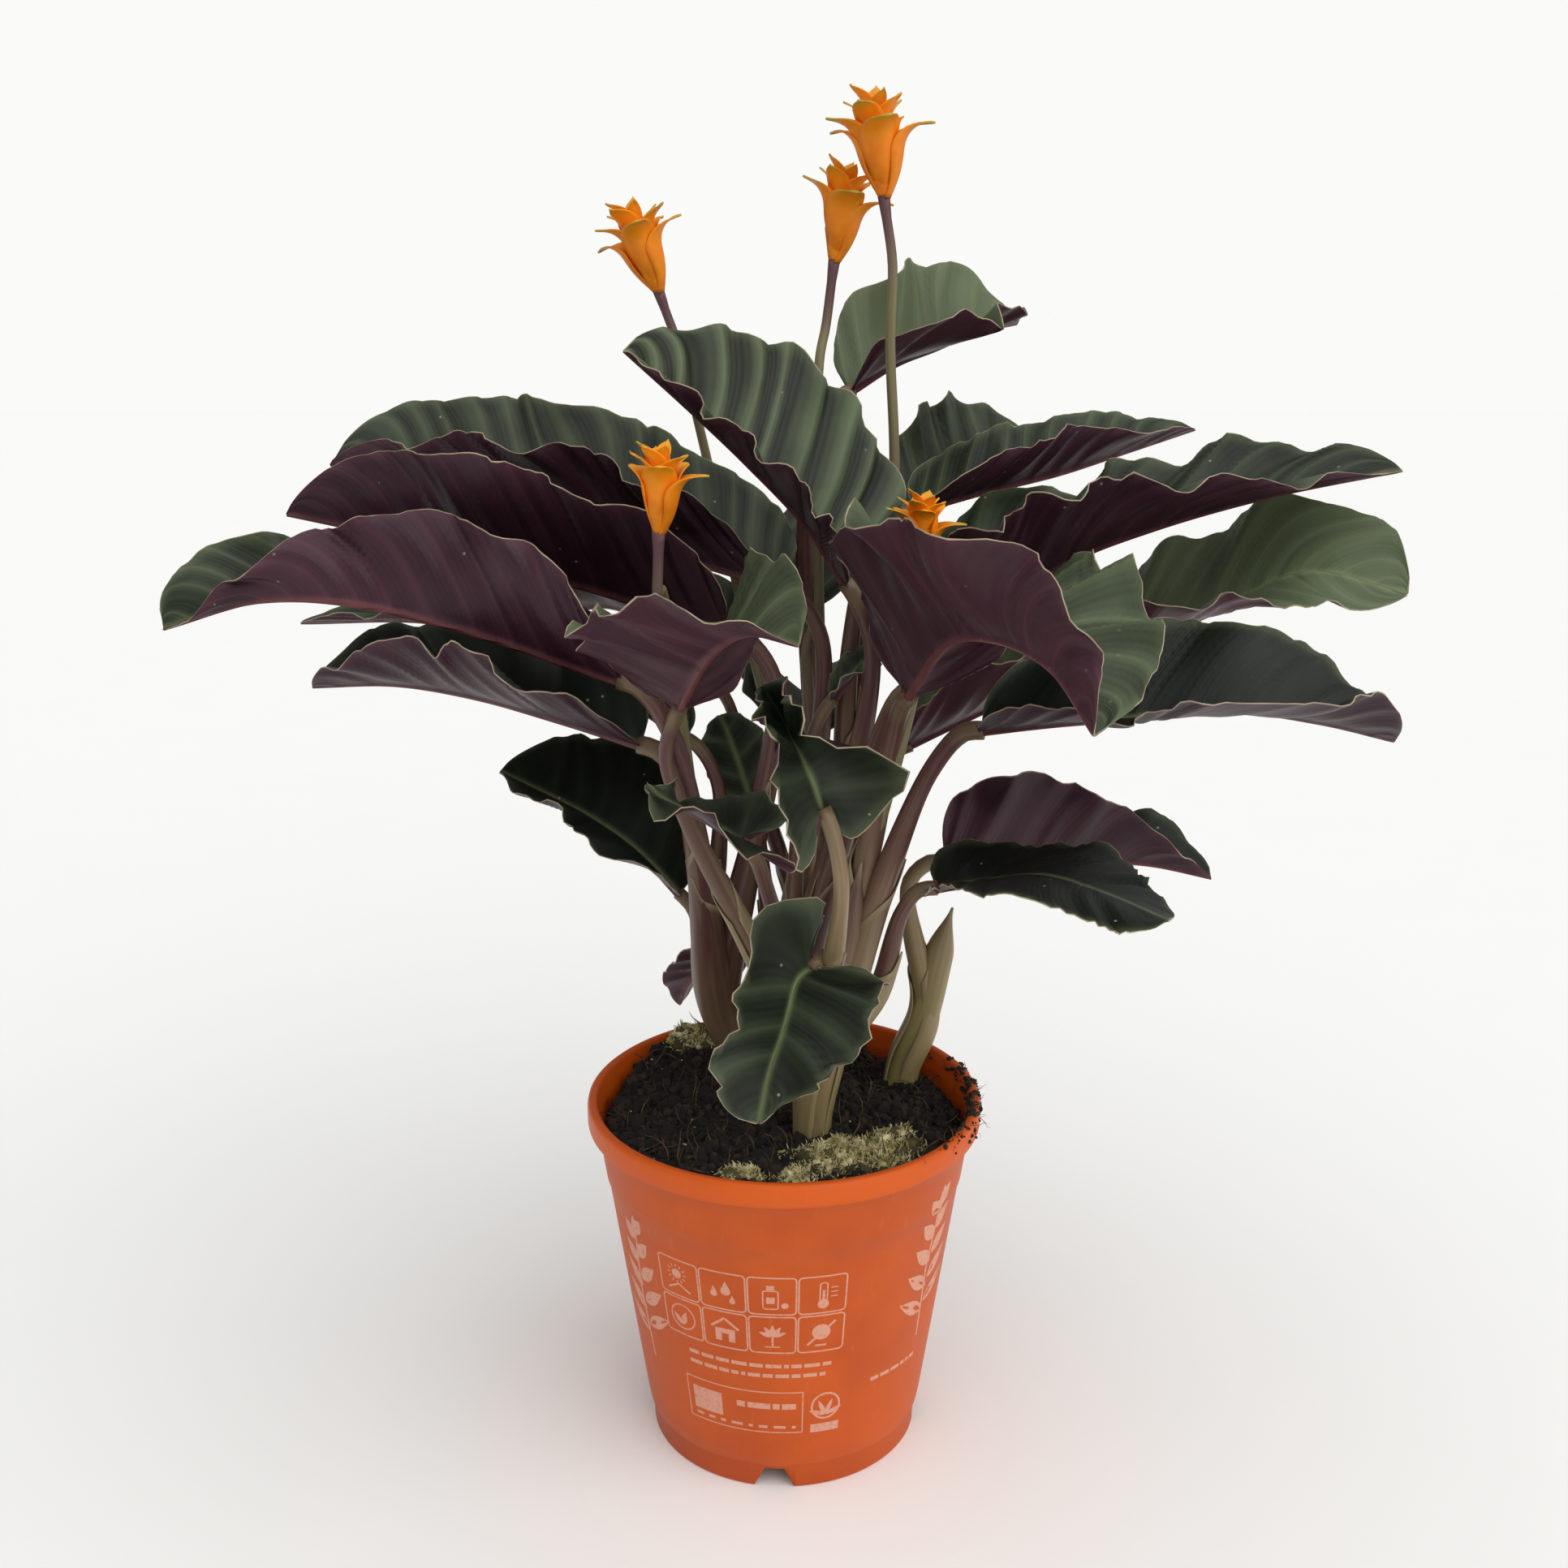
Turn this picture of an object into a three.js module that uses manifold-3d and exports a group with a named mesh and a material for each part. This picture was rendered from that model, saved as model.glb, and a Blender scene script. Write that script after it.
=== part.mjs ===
// Eternal flame calathea (Calathea crocata) in its round nursery pot.
// Millimetres, +Z up. The origin is the middle of the pot's underside, and the plant's front faces -Y.
import * as THREE from "three";
import { mergeVertices } from "three/addons/utils/BufferGeometryUtils.js";
import Module from "manifold-3d";

const wasm = await Module();
wasm.setup();

// ---- driving dimensions ----
const pot = {
  height: 129, // underside to rim
  rimRadius: 70,
  rimBand: 8.5, // height of the rolled rim band
  bandDepth: 2.6, // how far the band stands out of the wall
  baseRadius: 50, // outside of the wall just above the foot
  wall: 1.8,
  stepHeight: 101, // faint line where the wall grows half a millimetre
  step: 0.5,
  footHeight: 9.5,
  footRadius: 48.5,
  footWall: 3.2,
  floor: 2,
  notches: 4,
  notchFoot: 14.5, // width of a notch at the table
  notchTop: 7, // and at its top
  notchHeight: 7.5,
  notchTurn: -94, // degrees: one notch sits just left of the front
  drains: 6,
  drainRadius: 4.5,
  drainCircle: 30,
  sides: 32,
};
const gap = 0.3; // between pieces that touch
const soil = { level: 119, mound: 10, moundAt: [-38, 46], moundSpread: 30, rings: 4, sectors: 26 };
// The plain stump by which a shoot stands in the soil. Its stems leave it close together, at a share of
// the distance that they have higher up, and stay bunched for a while above it.
const collar = { depth: 24, above: 0.4, radius: 7.4, sides: 12, bunched: 30, pinch: 0.35 };
const blade = {
  thickness: 0.8,
  baseHalf: 1.4, // half width where the blade leaves its petiole
  tipHalf: 0.5,
  rows: 16,
  smallRows: 10,
  columns: [-1, -0.76, -0.42, 0, 0.42, 0.76, 1],
  smallColumns: [-1, -0.6, 0, 0.6, 1],
  round: 0.45, // how fast the width grows at the base, as a power
  taper: 0.7, // and how fast it shrinks at the tip
  scallop: 0.06, // how much the half width swells and shrinks along the margin
  veinSlant: 0.16, // how far a lateral vein runs towards the tip, as a share of the length
};
const petiole = {
  sides: 5,
  rows: 5,
  base: 4.6, // radius at the stump
  sheath: 4.9, // radius where the sheath ends
  sheathEnd: 0.6, // share of the length at which it ends
  neck: 2.1,
  pulvinus: 1.8, // radius of the joint under the blade
  reach: 16, // stretch by which it comes up under the blade
  rise: 0.4, // how much that stretch turns from the blade's own direction towards straight up
  stand: 3.8, // distance from the middle of its bunch
  seat: 0.8, // how far the gap under the blade is drawn back for the blade's thickness
};
const scape = { base: 2.6, top: 1.7, rows: 6, sides: 5, stand: 1, reach: 15, rise: 0, seat: 0.3 };
const bract = {
  thickness: 0.8,
  rows: [0, 0.42, 0.76, 1], // shares of its length at which it bends
  count: 6,
  cone: 0.19, // widest radius of the closed cone, as a share of the height
  coneEnd: 0.5, // where the cone is widest
  coneSides: 8,
};

const goldenAngle = 137.5; // degrees from one bract to the next

const green = 0x2f3f2c;
const olive = 0x83725a;
const flame = 0xee8a1c;

// ---- small tools ----
const vec = (p) => new THREE.Vector3(p[0], p[1], p[2]);
const rad = THREE.MathUtils.degToRad;
const mix = THREE.MathUtils.lerp;
const smooth = (x, a, b) => THREE.MathUtils.smoothstep(x, a, b);

// A smooth line through hand-set points, read by share of the points passed.
function line(points, kind = "catmullrom") {
  return new THREE.CatmullRomCurve3(points.map(vec), false, kind, 0.5);
}

// A number, or [base, middle, tip] read along 0..1.
function along(value, u) {
  if (!Array.isArray(value)) return value;
  const [a, b, c] = value;
  return u < 0.5 ? mix(a, b, smooth(u, 0, 0.5)) : mix(b, c, smooth(u, 0.5, 1));
}

function closedMesh(positions, faces) {
  const geometry = new THREE.BufferGeometry();
  geometry.setAttribute("position", new THREE.Float32BufferAttribute(positions.flat(), 3));
  geometry.setIndex(faces.flat());
  geometry.computeVertexNormals();
  return geometry;
}

// A sheet of even thickness over surface(u, v): two faces with the same triangles, and the edge round them.
function sheet(surface, us, vs, thickness) {
  const eps = 0.004;
  const at = (u, v) => surface(THREE.MathUtils.clamp(u, 0, 1), THREE.MathUtils.clamp(v, vs[0], vs.at(-1)));
  const upper = [];
  const lower = [];
  for (const u of us)
    for (const v of vs) {
      const du = at(u + eps, v).sub(at(u - eps, v));
      const dv = at(u, v + eps).sub(at(u, v - eps));
      const half = dv.cross(du).normalize().multiplyScalar(thickness / 2);
      upper.push(surface(u, v).add(half).toArray());
      lower.push(surface(u, v).sub(half).toArray());
    }
  const n = vs.length;
  const count = upper.length;
  const faces = [];
  const quad = (a, b, c, d) => faces.push([a, b, c], [a, c, d]);
  for (let i = 0; i + 1 < us.length; i++)
    for (let j = 0; j + 1 < n; j++) quad(i * n + j, i * n + j + 1, (i + 1) * n + j + 1, (i + 1) * n + j);
  const below = faces.map(([a, b, c]) => [count + a, count + c, count + b]);
  faces.push(...below);
  const rim = [];
  for (let j = 0; j + 1 < n; j++) rim.push(j);
  for (let i = 0; i + 1 < us.length; i++) rim.push(i * n + n - 1);
  for (let j = n - 1; j > 0; j--) rim.push((us.length - 1) * n + j);
  for (let i = us.length - 1; i > 0; i--) rim.push(i * n);
  rim.forEach((a, k) => {
    const b = rim[(k + 1) % rim.length];
    quad(a, count + a, count + b, b);
  });
  return closedMesh([...upper, ...lower], faces);
}

// A closed tube along a curve, with a radius for each share of its length.
function taperedTube(curve, radiusAt, rows, sides, squash = 1) {
  const positions = [];
  const faces = [];
  const frames = curve.computeFrenetFrames(rows, false);
  for (let i = 0; i <= rows; i++) {
    const p = curve.getPointAt(i / rows);
    const r = radiusAt(i / rows);
    for (let k = 0; k < sides; k++) {
      const a = (2 * Math.PI * k) / sides;
      const out = frames.normals[i].clone().multiplyScalar(r * Math.cos(a));
      out.addScaledVector(frames.binormals[i], r * squash * Math.sin(a));
      positions.push(p.clone().add(out).toArray());
    }
  }
  for (let i = 0; i < rows; i++)
    for (let k = 0; k < sides; k++) {
      const a = i * sides + k;
      const b = i * sides + ((k + 1) % sides);
      faces.push([a, b, b + sides], [a, b + sides, a + sides]);
    }
  for (let k = 1; k + 1 < sides; k++) {
    faces.push([0, k + 1, k]);
    const top = rows * sides;
    faces.push([top, top + k, top + k + 1]);
  }
  return closedMesh(positions, faces);
}

function solid(geometry) {
  const bare = new THREE.BufferGeometry();
  bare.setAttribute("position", geometry.getAttribute("position"));
  bare.setIndex(geometry.index);
  const merged = mergeVertices(bare, 1e-3);
  return new wasm.Manifold(
    new wasm.Mesh({
      numProp: 3,
      vertProperties: merged.attributes.position.array,
      triVerts: new Uint32Array(merged.index.array),
    }),
  );
}

// The largest body of a boolean's result, without the slivers that it may leave.
function geometryOf(result) {
  const bodies = result.decompose().sort((a, b) => b.volume() - a.volume());
  const mesh = bodies[0].getMesh();
  const geometry = new THREE.BufferGeometry();
  geometry.setAttribute("position", new THREE.BufferAttribute(mesh.vertProperties, 3));
  geometry.setIndex(new THREE.BufferAttribute(mesh.triVerts, 1));
  geometry.computeVertexNormals();
  return geometry;
}

const join = (geometries) => geometries.map(solid).reduce((all, next) => all.add(next));

const plant = new THREE.Group();

function place(name, geometry, color, roughness) {
  const material = new THREE.MeshStandardMaterial({ color, roughness, metalness: 0 });
  const mesh = new THREE.Mesh(geometry, material);
  mesh.name = name;
  plant.add(mesh);
}

// ---- pot ----
// Outside radius of the wall at a height above the foot.
function potRadius(z) {
  const under = pot.rimRadius - pot.bandDepth;
  const t = (z - pot.footHeight) / (pot.height - pot.footHeight);
  return mix(pot.baseRadius, under, t) + (z > pot.stepHeight ? pot.step : 0);
}

function makePot() {
  const band = pot.height - pot.rimBand;
  const rim = pot.rimRadius;
  const { footHeight, footRadius, footWall, wall, stepHeight, floor, height } = pot;
  const innerFloor = footHeight + floor;
  const profile = [
    [0, footHeight - 1],
    [footRadius - footWall, footHeight - 1],
    [footRadius - footWall, 0],
    [footRadius, 0],
    [footRadius, footHeight - 0.5],
    [potRadius(footHeight) - 0.8, footHeight],
    [potRadius(footHeight), footHeight + 1.6],
    [potRadius(stepHeight), stepHeight],
    [potRadius(stepHeight + 0.5), stepHeight + 0.5],
    [potRadius(band), band],
    [rim, band + 0.8],
    [rim, height - 1.2],
    [rim - 1.2, height],
    [rim - 3.6, height],
    [potRadius(band) - wall, band - 2],
    [potRadius(innerFloor) - wall, innerFloor],
    [0, innerFloor],
  ].map(([x, y]) => new THREE.Vector2(x, y));
  const cup = new THREE.LatheGeometry(profile, pot.sides);
  cup.rotateX(Math.PI / 2);
  let body = solid(cup);
  for (let k = 0; k < pot.notches; k++) {
    const cut = new THREE.BoxGeometry(pot.footWall * 4, 1, pot.notchHeight * 2);
    const corners = cut.getAttribute("position");
    const low = 2 * pot.notchFoot - pot.notchTop; // the box goes as far below the table as above it
    for (let i = 0; i < corners.count; i++)
      corners.setY(i, corners.getY(i) * (corners.getZ(i) > 0 ? pot.notchTop : low));
    cut.translate(footRadius, 0, 0);
    cut.rotateZ(rad(pot.notchTurn + (360 / pot.notches) * k));
    body = body.subtract(solid(cut));
  }
  for (let k = 0; k < pot.drains; k++) {
    const hole = new THREE.CylinderGeometry(pot.drainRadius, pot.drainRadius, 6 * floor, 12);
    hole.rotateX(Math.PI / 2);
    hole.translate(pot.drainCircle, 0, footHeight);
    hole.rotateZ(rad(15 + (360 / pot.drains) * k));
    body = body.subtract(solid(hole));
  }
  return geometryOf(body);
}

// ---- soil ----
// Peat surface: a mound at the back left and small lumps.
function soilTop(x, y) {
  const far = Math.hypot(x - soil.moundAt[0], y - soil.moundAt[1]) / soil.moundSpread;
  const lumps = Math.sin(x * 0.31 + 1) * Math.cos(y * 0.27) + 0.6 * Math.sin(x * 0.13 - y * 0.41);
  return soil.level + soil.mound * Math.exp(-far * far) + 0.9 * lumps;
}

function makeSoil(holes) {
  const foot = pot.footHeight + pot.floor + gap;
  const radiusAt = (z) => potRadius(Math.min(z, pot.height - pot.rimBand - 2)) - pot.wall - pot.step - gap;
  const positions = [
    [0, 0, foot],
    [0, 0, soilTop(0, 0)],
  ];
  const { rings, sectors } = soil;
  const ringStart = [];
  const addRing = (radius, zAt) => {
    ringStart.push(positions.length);
    for (let k = 0; k < sectors; k++) {
      const a = (2 * Math.PI * k) / sectors;
      const x = radius * Math.cos(a);
      const y = radius * Math.sin(a);
      positions.push([x, y, zAt(x, y)]);
    }
  };
  addRing(radiusAt(foot), () => foot);
  const edge = radiusAt(soil.level - 4);
  addRing(edge, (x, y) => soilTop(x, y) - 2.5);
  for (let r = rings - 1; r > 0; r--) addRing((edge * r) / rings, soilTop);
  const faces = [];
  const next = (k) => (k + 1) % sectors;
  for (let k = 0; k < sectors; k++) faces.push([0, ringStart[0] + next(k), ringStart[0] + k]);
  for (let r = 0; r + 1 < ringStart.length; r++)
    for (let k = 0; k < sectors; k++) {
      const [a, b] = [ringStart[r] + k, ringStart[r] + next(k)];
      const [c, d] = [ringStart[r + 1] + next(k), ringStart[r + 1] + k];
      faces.push([a, b, c], [a, c, d]);
    }
  const last = ringStart.at(-1);
  for (let k = 0; k < sectors; k++) faces.push([last + k, last + next(k), 1]);
  const whole = solid(closedMesh(positions, faces));
  return geometryOf(holes.reduce((body, hole) => body.subtract(solid(hole)), whole));
}

// ---- leaves ----
// Each blade: its midrib from petiole to tip; half widths, lifts and curls of its left and right halves,
// seen from the petiole with the green face up. A lift is how far a half is raised, a curl how much more
// its margin is, in degrees. wave is amplitude, count and phase of the waved margin. lobe pulls the base
// of a half back past the petiole. up is the way the green face looks.
const leaves = [
  {
    name: "leaf_left_long", shoot: "left", half: [36, 27],
    lift: [[34, 88, 5], [30, 22, 72]], curl: [31, 7],
    wave: [4.6, 4.4, 1.26], taper: [1.4, 0.4], lobe: [-4, 0],
    rib: [[-53, -20, 283], [-95, -18, 297], [-137, -15, 307], [-169, -14, 308], [-201, -14, 299]],
  },
  {
    name: "leaf_left_middle", shoot: "left", half: [46, 32],
    lift: [[39, 45, 84], [35, 30, 20]], curl: [12, 10],
    wave: [3.7, 2.9, 1.27], taper: [0.67, 0.7], lobe: [4, 0],
    rib: [[-21, 14, 294], [-57, 15, 305], [-93, 16, 315], [-129, 17, 324], [-167, 17, 332]],
  },
  {
    name: "leaf_left_back", shoot: "centre", half: [37, 51],
    lift: [[41, 43, 53], [32, 43, 48]], curl: [14, 6],
    wave: [3.3, 4, 0.3], taper: [0.69, 0.41], lobe: [-2, 24],
    rib: [[-5, 42, 305], [-45, 53, 315], [-86, 62, 326], [-127, 71, 332], [-167, 79, 343]],
  },
  {
    name: "leaf_left_low", shoot: "left", half: [46, 39],
    lift: [[16, 24, 22], [40, 22, 48]], curl: [19, 4],
    wave: [3.6, 3.4, 0.45], taper: [0.69, 0.71], lobe: [-3, 0],
    rib: [[-48, -6, 258], [-77, -1, 266], [-105, 6, 272], [-132, 7, 276], [-160, 8, 275]],
  },
  {
    name: "leaf_left_behind", shoot: "left", half: [24, 25],
    lift: [[20, 20, 15], [30, 30, 20]], curl: [10, 10],
    wave: [2.4, 4, 0.2], small: true,
    rib: [[-36, 44, 248], [-82, 66, 273], [-130, 74, 285], [-181, 74, 285]],
  },
  {
    name: "leaf_left_droop", shoot: "left", half: [42, 36],
    lift: [[20, 8, 4], [30, 39, 40]], curl: [11, 4],
    wave: [2.2, 3.5, 0.29], taper: [0.83, 0.6], lobe: [4, 0], small: true,
    rib: [[-39, 44, 188], [-55, 48, 204], [-72, 53, 215], [-89, 54, 224], [-106, 56, 232]],
  },
  {
    name: "leaf_low_behind", shoot: "left", half: [12, 12],
    lift: [20, 30], curl: [10, 10], wave: [1, 3, 0],
    small: true, rib: [[-19, 62, 163], [-29, 72, 151], [-38, 84, 137], [-43, 96, 122]],
  },
  {
    name: "leaf_centre_high", shoot: "centre", half: [33, 46],
    lift: [[-3, 4, 5], [67, 58, 36]], curl: [9, 7],
    wave: [2, 4.9, 0.03], taper: [0.77, 0.47], lobe: [-12, 15],
    rib: [[21, 14, 309], [7, 11, 330], [-12, 7, 350], [-31, 4, 368], [-51, 1, 386]],
  },
  {
    name: "leaf_back_high", shoot: "back", half: [31, 44],
    lift: [[57, 77, 52], [29, 11, 16]], curl: [3, 9],
    wave: [3.4, 3.2, 0.28], taper: [0.43, 0.72], lobe: [2, 1],
    rib: [[24, 70, 370], [40, 78, 379], [55, 88, 384], [71, 96, 390], [87, 104, 393]],
  },
  {
    name: "leaf_back_upright", shoot: "back", half: [34, 29],
    lift: [[51, 65, 44], [25, 25, 15]], curl: [10, 10],
    wave: [2.6, 4.1, 0.3], taper: [0.49, 0.7], lobe: [-2, 0],
    rib: [[49, 86, 321], [66, 98, 330], [82, 110, 339], [99, 122, 348]],
  },
  {
    name: "leaf_right_high", shoot: "back", half: [31, 19],
    lift: [[30, 28, 15], [24, 47, 17]], curl: [5, 20],
    wave: [2.4, 2.6, -0.22], taper: [0.4, 0.79], lobe: [0, -3],
    rib: [[46, 41, 331], [73, 51, 337], [99, 60, 342], [125, 69, 349], [150, 77, 356]],
  },
  {
    name: "leaf_right_long", shoot: "centre", half: [46, 46],
    lift: [[74, 14, 21], [51, 32, 9]], curl: [16, 12],
    wave: [3.7, 5.4, -1.15], taper: [0.6, 1.27], lobe: [9, -22],
    rib: [[43, 4, 276], [67, 6, 296], [92, 9, 316], [123, 7, 329], [162, 6, 340], [202, 5, 348]],
  },
  {
    name: "leaf_right_flat", shoot: "back", half: [40, 39],
    lift: [[40, 29, 44], [20, 5, -60]], curl: [14, 40],
    wave: [2.8, 5.5, 0.9], taper: [0.49, 0.74], lobe: [0, -1],
    rib: [[45, 37, 247], [78, 34, 264], [112, 29, 280], [144, 20, 297], [174, 8, 314], [204, -5, 309]],
  },
  {
    name: "leaf_right_low", shoot: "front", half: [34, 45],
    lift: [[54, 43, 20], [15, 5, 26]], curl: [10, 14],
    wave: [2.5, 2.8, 0.77], taper: [0.4, 0.44], via: [[36, -14, 220]],
    rib: [[65, -14, 265], [91, -23, 270], [117, -32, 274], [142, -41, 278],
      [167, -44, 275], [189, -47, 270]],
  },
  {
    name: "leaf_right_purple", shoot: "right", half: [31, 41],
    lift: [[20, 20, 30], [53, 55, 44]], curl: [8, 17],
    wave: [3.4, 3.6, 0], taper: [0.54, 1.25], lobe: [0, 8],
    rib: [[58, 24, 207], [82, 24, 208], [106, 23, 208], [130, 22, 207], [153, 21, 202]],
  },
  {
    name: "leaf_right_dark", shoot: "front", half: [34, 31],
    lift: [[24, 1, -15], [15, 10, 5]], curl: [2, -9],
    wave: [1.4, 2.5, 0.59], taper: [0.41, 0.4], lobe: [24, 2], via: [[32, -8, 170]], small: true,
    rib: [[50, -22, 213], [66, -32, 219], [82, -47, 226], [99, -61, 225], [117, -72, 220]],
  },
  {
    name: "leaf_right_front", shoot: "front", half: [44, 51],
    lift: [[5, 22, 12], [78, 41, 86]], curl: [11, 7],
    wave: [4.6, 4.8, 0.13], taper: [0.64, 0.65], lobe: [-2, 18],
    rib: [[40, -22, 278], [50, -45, 300], [62, -70, 306], [74, -97, 303], [82, -124, 291]],
  },
  {
    name: "leaf_left_front", shoot: "front", half: [31, 41],
    lift: [[4, 45, 53], [38, 16, 16]], curl: [11, 10],
    wave: [4.1, 4.6, 0.21], taper: [0.55, 0.45], lobe: [0, 12], small: true,
    rib: [[-33, -33, 277], [-27, -45, 290], [-20, -58, 301], [-10, -71, 308], [4, -83, 307]],
  },
  {
    name: "leaf_centre_front", shoot: "front", half: [23, 25],
    lift: [[22, 52, 50], [-60, 95, 76]], curl: [8, 6],
    wave: [2.1, 3.6, -0.05], taper: [0.84, 0.78], lobe: [31, 34], up: [0.3, -1, 0.4], small: true,
    rib: [[12, -70, 254], [7, -68, 266], [2, -64, 276], [-2, -60, 283], [-7, -56, 289]],
  },
  {
    name: "leaf_centre_small", shoot: "front", half: [18, 24],
    lift: [[59, 54, 29], [16, -60, 7]], curl: [14, 2],
    wave: [3.8, 2.8, 0.17], taper: [0.96, 1.5], lobe: [29, 32], up: [0, -1, 1], small: true,
    rib: [[-13, -50, 237], [-19, -56, 244], [-29, -59, 251], [-37, -60, 255], [-42, -58, 259]],
  },
  {
    name: "leaf_low_front", shoot: "front", half: [31, 25],
    lift: [[48, 21, 14], [18, 48, 28]], curl: [17, 11],
    wave: [1.7, 3.9, 0.15], taper: [1.08, 0.46], lobe: [15, 30], up: [0, -1, 0.4], small: true,
    rib: [[9, -53, 197], [4, -58, 194], [0, -63, 181], [-5, -69, 167], [-8, -74, 153]],
  },
  {
    name: "leaf_between_left", shoot: "centre", half: [12, 12], lift: [20, 20], curl: [10, 10],
    wave: [1.6, 3, 0.3], small: true, up: [0, -1, 0.6],
    rib: [[-12, 48, 222], [-17, 54, 236], [-21, 59, 246], [-24, 63, 252]],
  },
  {
    name: "leaf_between_right", shoot: "centre", half: [7, 8],
    lift: [[30, 40, 30], [20, 10, 0]], curl: [10, 10],
    wave: [1.6, 3, 0.3], small: true,
    rib: [[17, 27, 266], [23, 27, 274], [29, 28, 280], [36, 30, 286]],
  },
  {
    name: "leaf_behind_green", shoot: "back", half: [30, 30], lift: [30, 30], curl: [10, 10],
    wave: [2.4, 4, 0.1], small: true,
    rib: [[8, 66, 290], [2, 82, 304], [-4, 98, 313], [-12, 114, 313]],
  },
  {
    name: "leaf_behind_left", shoot: "back", half: [34, 34], lift: [30, 30], curl: [10, 10],
    wave: [2.6, 4, 0.1], small: true,
    rib: [[-26, 76, 260], [-47, 92, 279], [-71, 105, 286], [-96, 114, 277]],
  },
  {
    name: "leaf_behind_middle", shoot: "back", half: [34, 28], lift: [30, 30], curl: [10, 10],
    wave: [2.6, 4, 0.6], small: true,
    rib: [[10, 80, 238], [11, 96, 250], [8, 110, 248], [2, 120, 234]],
  },
  {
    name: "leaf_behind_right", shoot: "back", half: [34, 34], lift: [30, 30], curl: [10, 10],
    wave: [2.6, 4, 0.4], small: true,
    rib: [[54, 74, 250], [83, 90, 268], [112, 106, 273], [141, 117, 260]],
  },
];

// Half width of a half blade as a share of its widest: round at its base, drawn out at its tip.
function widthShare(u, taper) {
  const { round } = blade;
  const widest = round / (round + taper);
  return Math.pow(u / widest, round) * Math.pow((1 - u) / (1 - widest), taper);
}

function bladeSurface(leaf) {
  const rib = line(leaf.rib);
  const up = vec(leaf.up ?? [0, 0, 1]).normalize();
  const [amplitude, waves, phase] = leaf.wave;
  return (u, v) => {
    const side = v < 0 ? 0 : 1;
    const sign = v < 0 ? -1 : 1;
    const share = Math.abs(v);
    const forward = rib.getTangent(u);
    const right = forward.clone().cross(up).normalize();
    const normal = right.clone().cross(forward);
    const shape = widthShare(u, (leaf.taper ?? [blade.taper, blade.taper])[side]);
    const width = leaf.half[side] * shape + mix(blade.baseHalf, blade.tipHalf, u);
    const lift = rad(along(leaf.lift[side], u));
    const curl = rad(leaf.curl[side]);
    const end = lift + curl * share;
    // Where the half lies when its angle grows evenly from lift to lift plus curl.
    const across = Math.abs(curl) < 1e-3 ? share * Math.cos(lift) : (Math.sin(end) - Math.sin(lift)) / curl;
    const raised = Math.abs(curl) < 1e-3 ? share * Math.sin(lift) : (Math.cos(lift) - Math.cos(end)) / curl;
    const scallop = 1 + blade.scallop * share * share * Math.sin(2 * Math.PI * (waves * u + phase) + 1.5);
    const beat = 2 * Math.PI * waves * (u - blade.veinSlant * share) + 2 * Math.PI * (phase + 0.37 * side);
    const wave = amplitude * Math.pow(share, 1.7) * Math.pow(Math.sin(Math.PI * u), 0.6);
    const ripple = wave * (Math.sin(beat) + 0.35 * Math.sin(1.9 * beat + 2));
    const back = (leaf.lobe ?? [0, 0])[side] * share * share * shape * Math.pow(1 - u, 3);
    return rib
      .getPoint(u)
      .addScaledVector(right, sign * width * scallop * across - sign * ripple * Math.sin(end))
      .addScaledVector(normal, width * scallop * raised + ripple * Math.cos(end))
      .addScaledVector(forward, -back);
  };
}

function makeBlade(leaf) {
  const rows = leaf.small ? blade.smallRows : blade.rows;
  const even = Array.from({ length: rows + 1 }, (_, i) => i / rows);
  const us = even.map((t) => mix(t, 0.5 - 0.5 * Math.cos(Math.PI * t), 0.6));
  return sheet(bladeSurface(leaf), us, leaf.small ? blade.smallColumns : blade.columns, blade.thickness);
}

// ---- shoots ----
// Each shoot is a bunch of sheathed petioles fused at a stump that stands in a hole in the soil.
// lean is how far the stump goes sideways per millimetre of height.
const shoots = {
  left: { at: [-17, 44], lean: [-0.22, -0.1] },
  centre: { at: [-2, 18], lean: [0, 0] },
  right: { at: [42, 28], lean: [0.2, -0.05] },
  front: { at: [9, -12], lean: [0.05, -0.05] },
  back: { at: [14, 48], lean: [0.05, 0.15] },
};

// The bract heads: where the stalk meets the head, which way the head points, its height and its stalk.
const heads = [
  {
    name: "flower_top", shoot: "back", height: 37, at: [33, 34, 434], to: [-5, 0, 33],
    via: [[38, 39, 330], [36, 37, 388]],
  },
  {
    name: "flower_high", shoot: "back", height: 35, at: [17, 48, 414], to: [4, 0, 32],
    via: [[12, 44, 380]],
  },
  {
    name: "flower_left", shoot: "back", height: 36, at: [-45, 80, 404], to: [-12, 0, 34],
    via: [[-29, 88, 345]],
  },
  {
    name: "flower_front", shoot: "left", height: 30, at: [-38, -42, 333], to: [1, 0, 30],
    via: [[-38, -38, 316]],
  },
  {
    name: "flower_hidden", shoot: "front", height: 28, at: [42, -19, 318], to: [3, 0, 30],
    via: [[44, -14, 292]],
  },
];

// A point on a shoot's axis at a height.
function shootAxis(shoot, z) {
  const rise = z - soil.level;
  return new THREE.Vector3(shoot.at[0] + shoot.lean[0] * rise, shoot.at[1] + shoot.lean[1] * rise, z);
}

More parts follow.
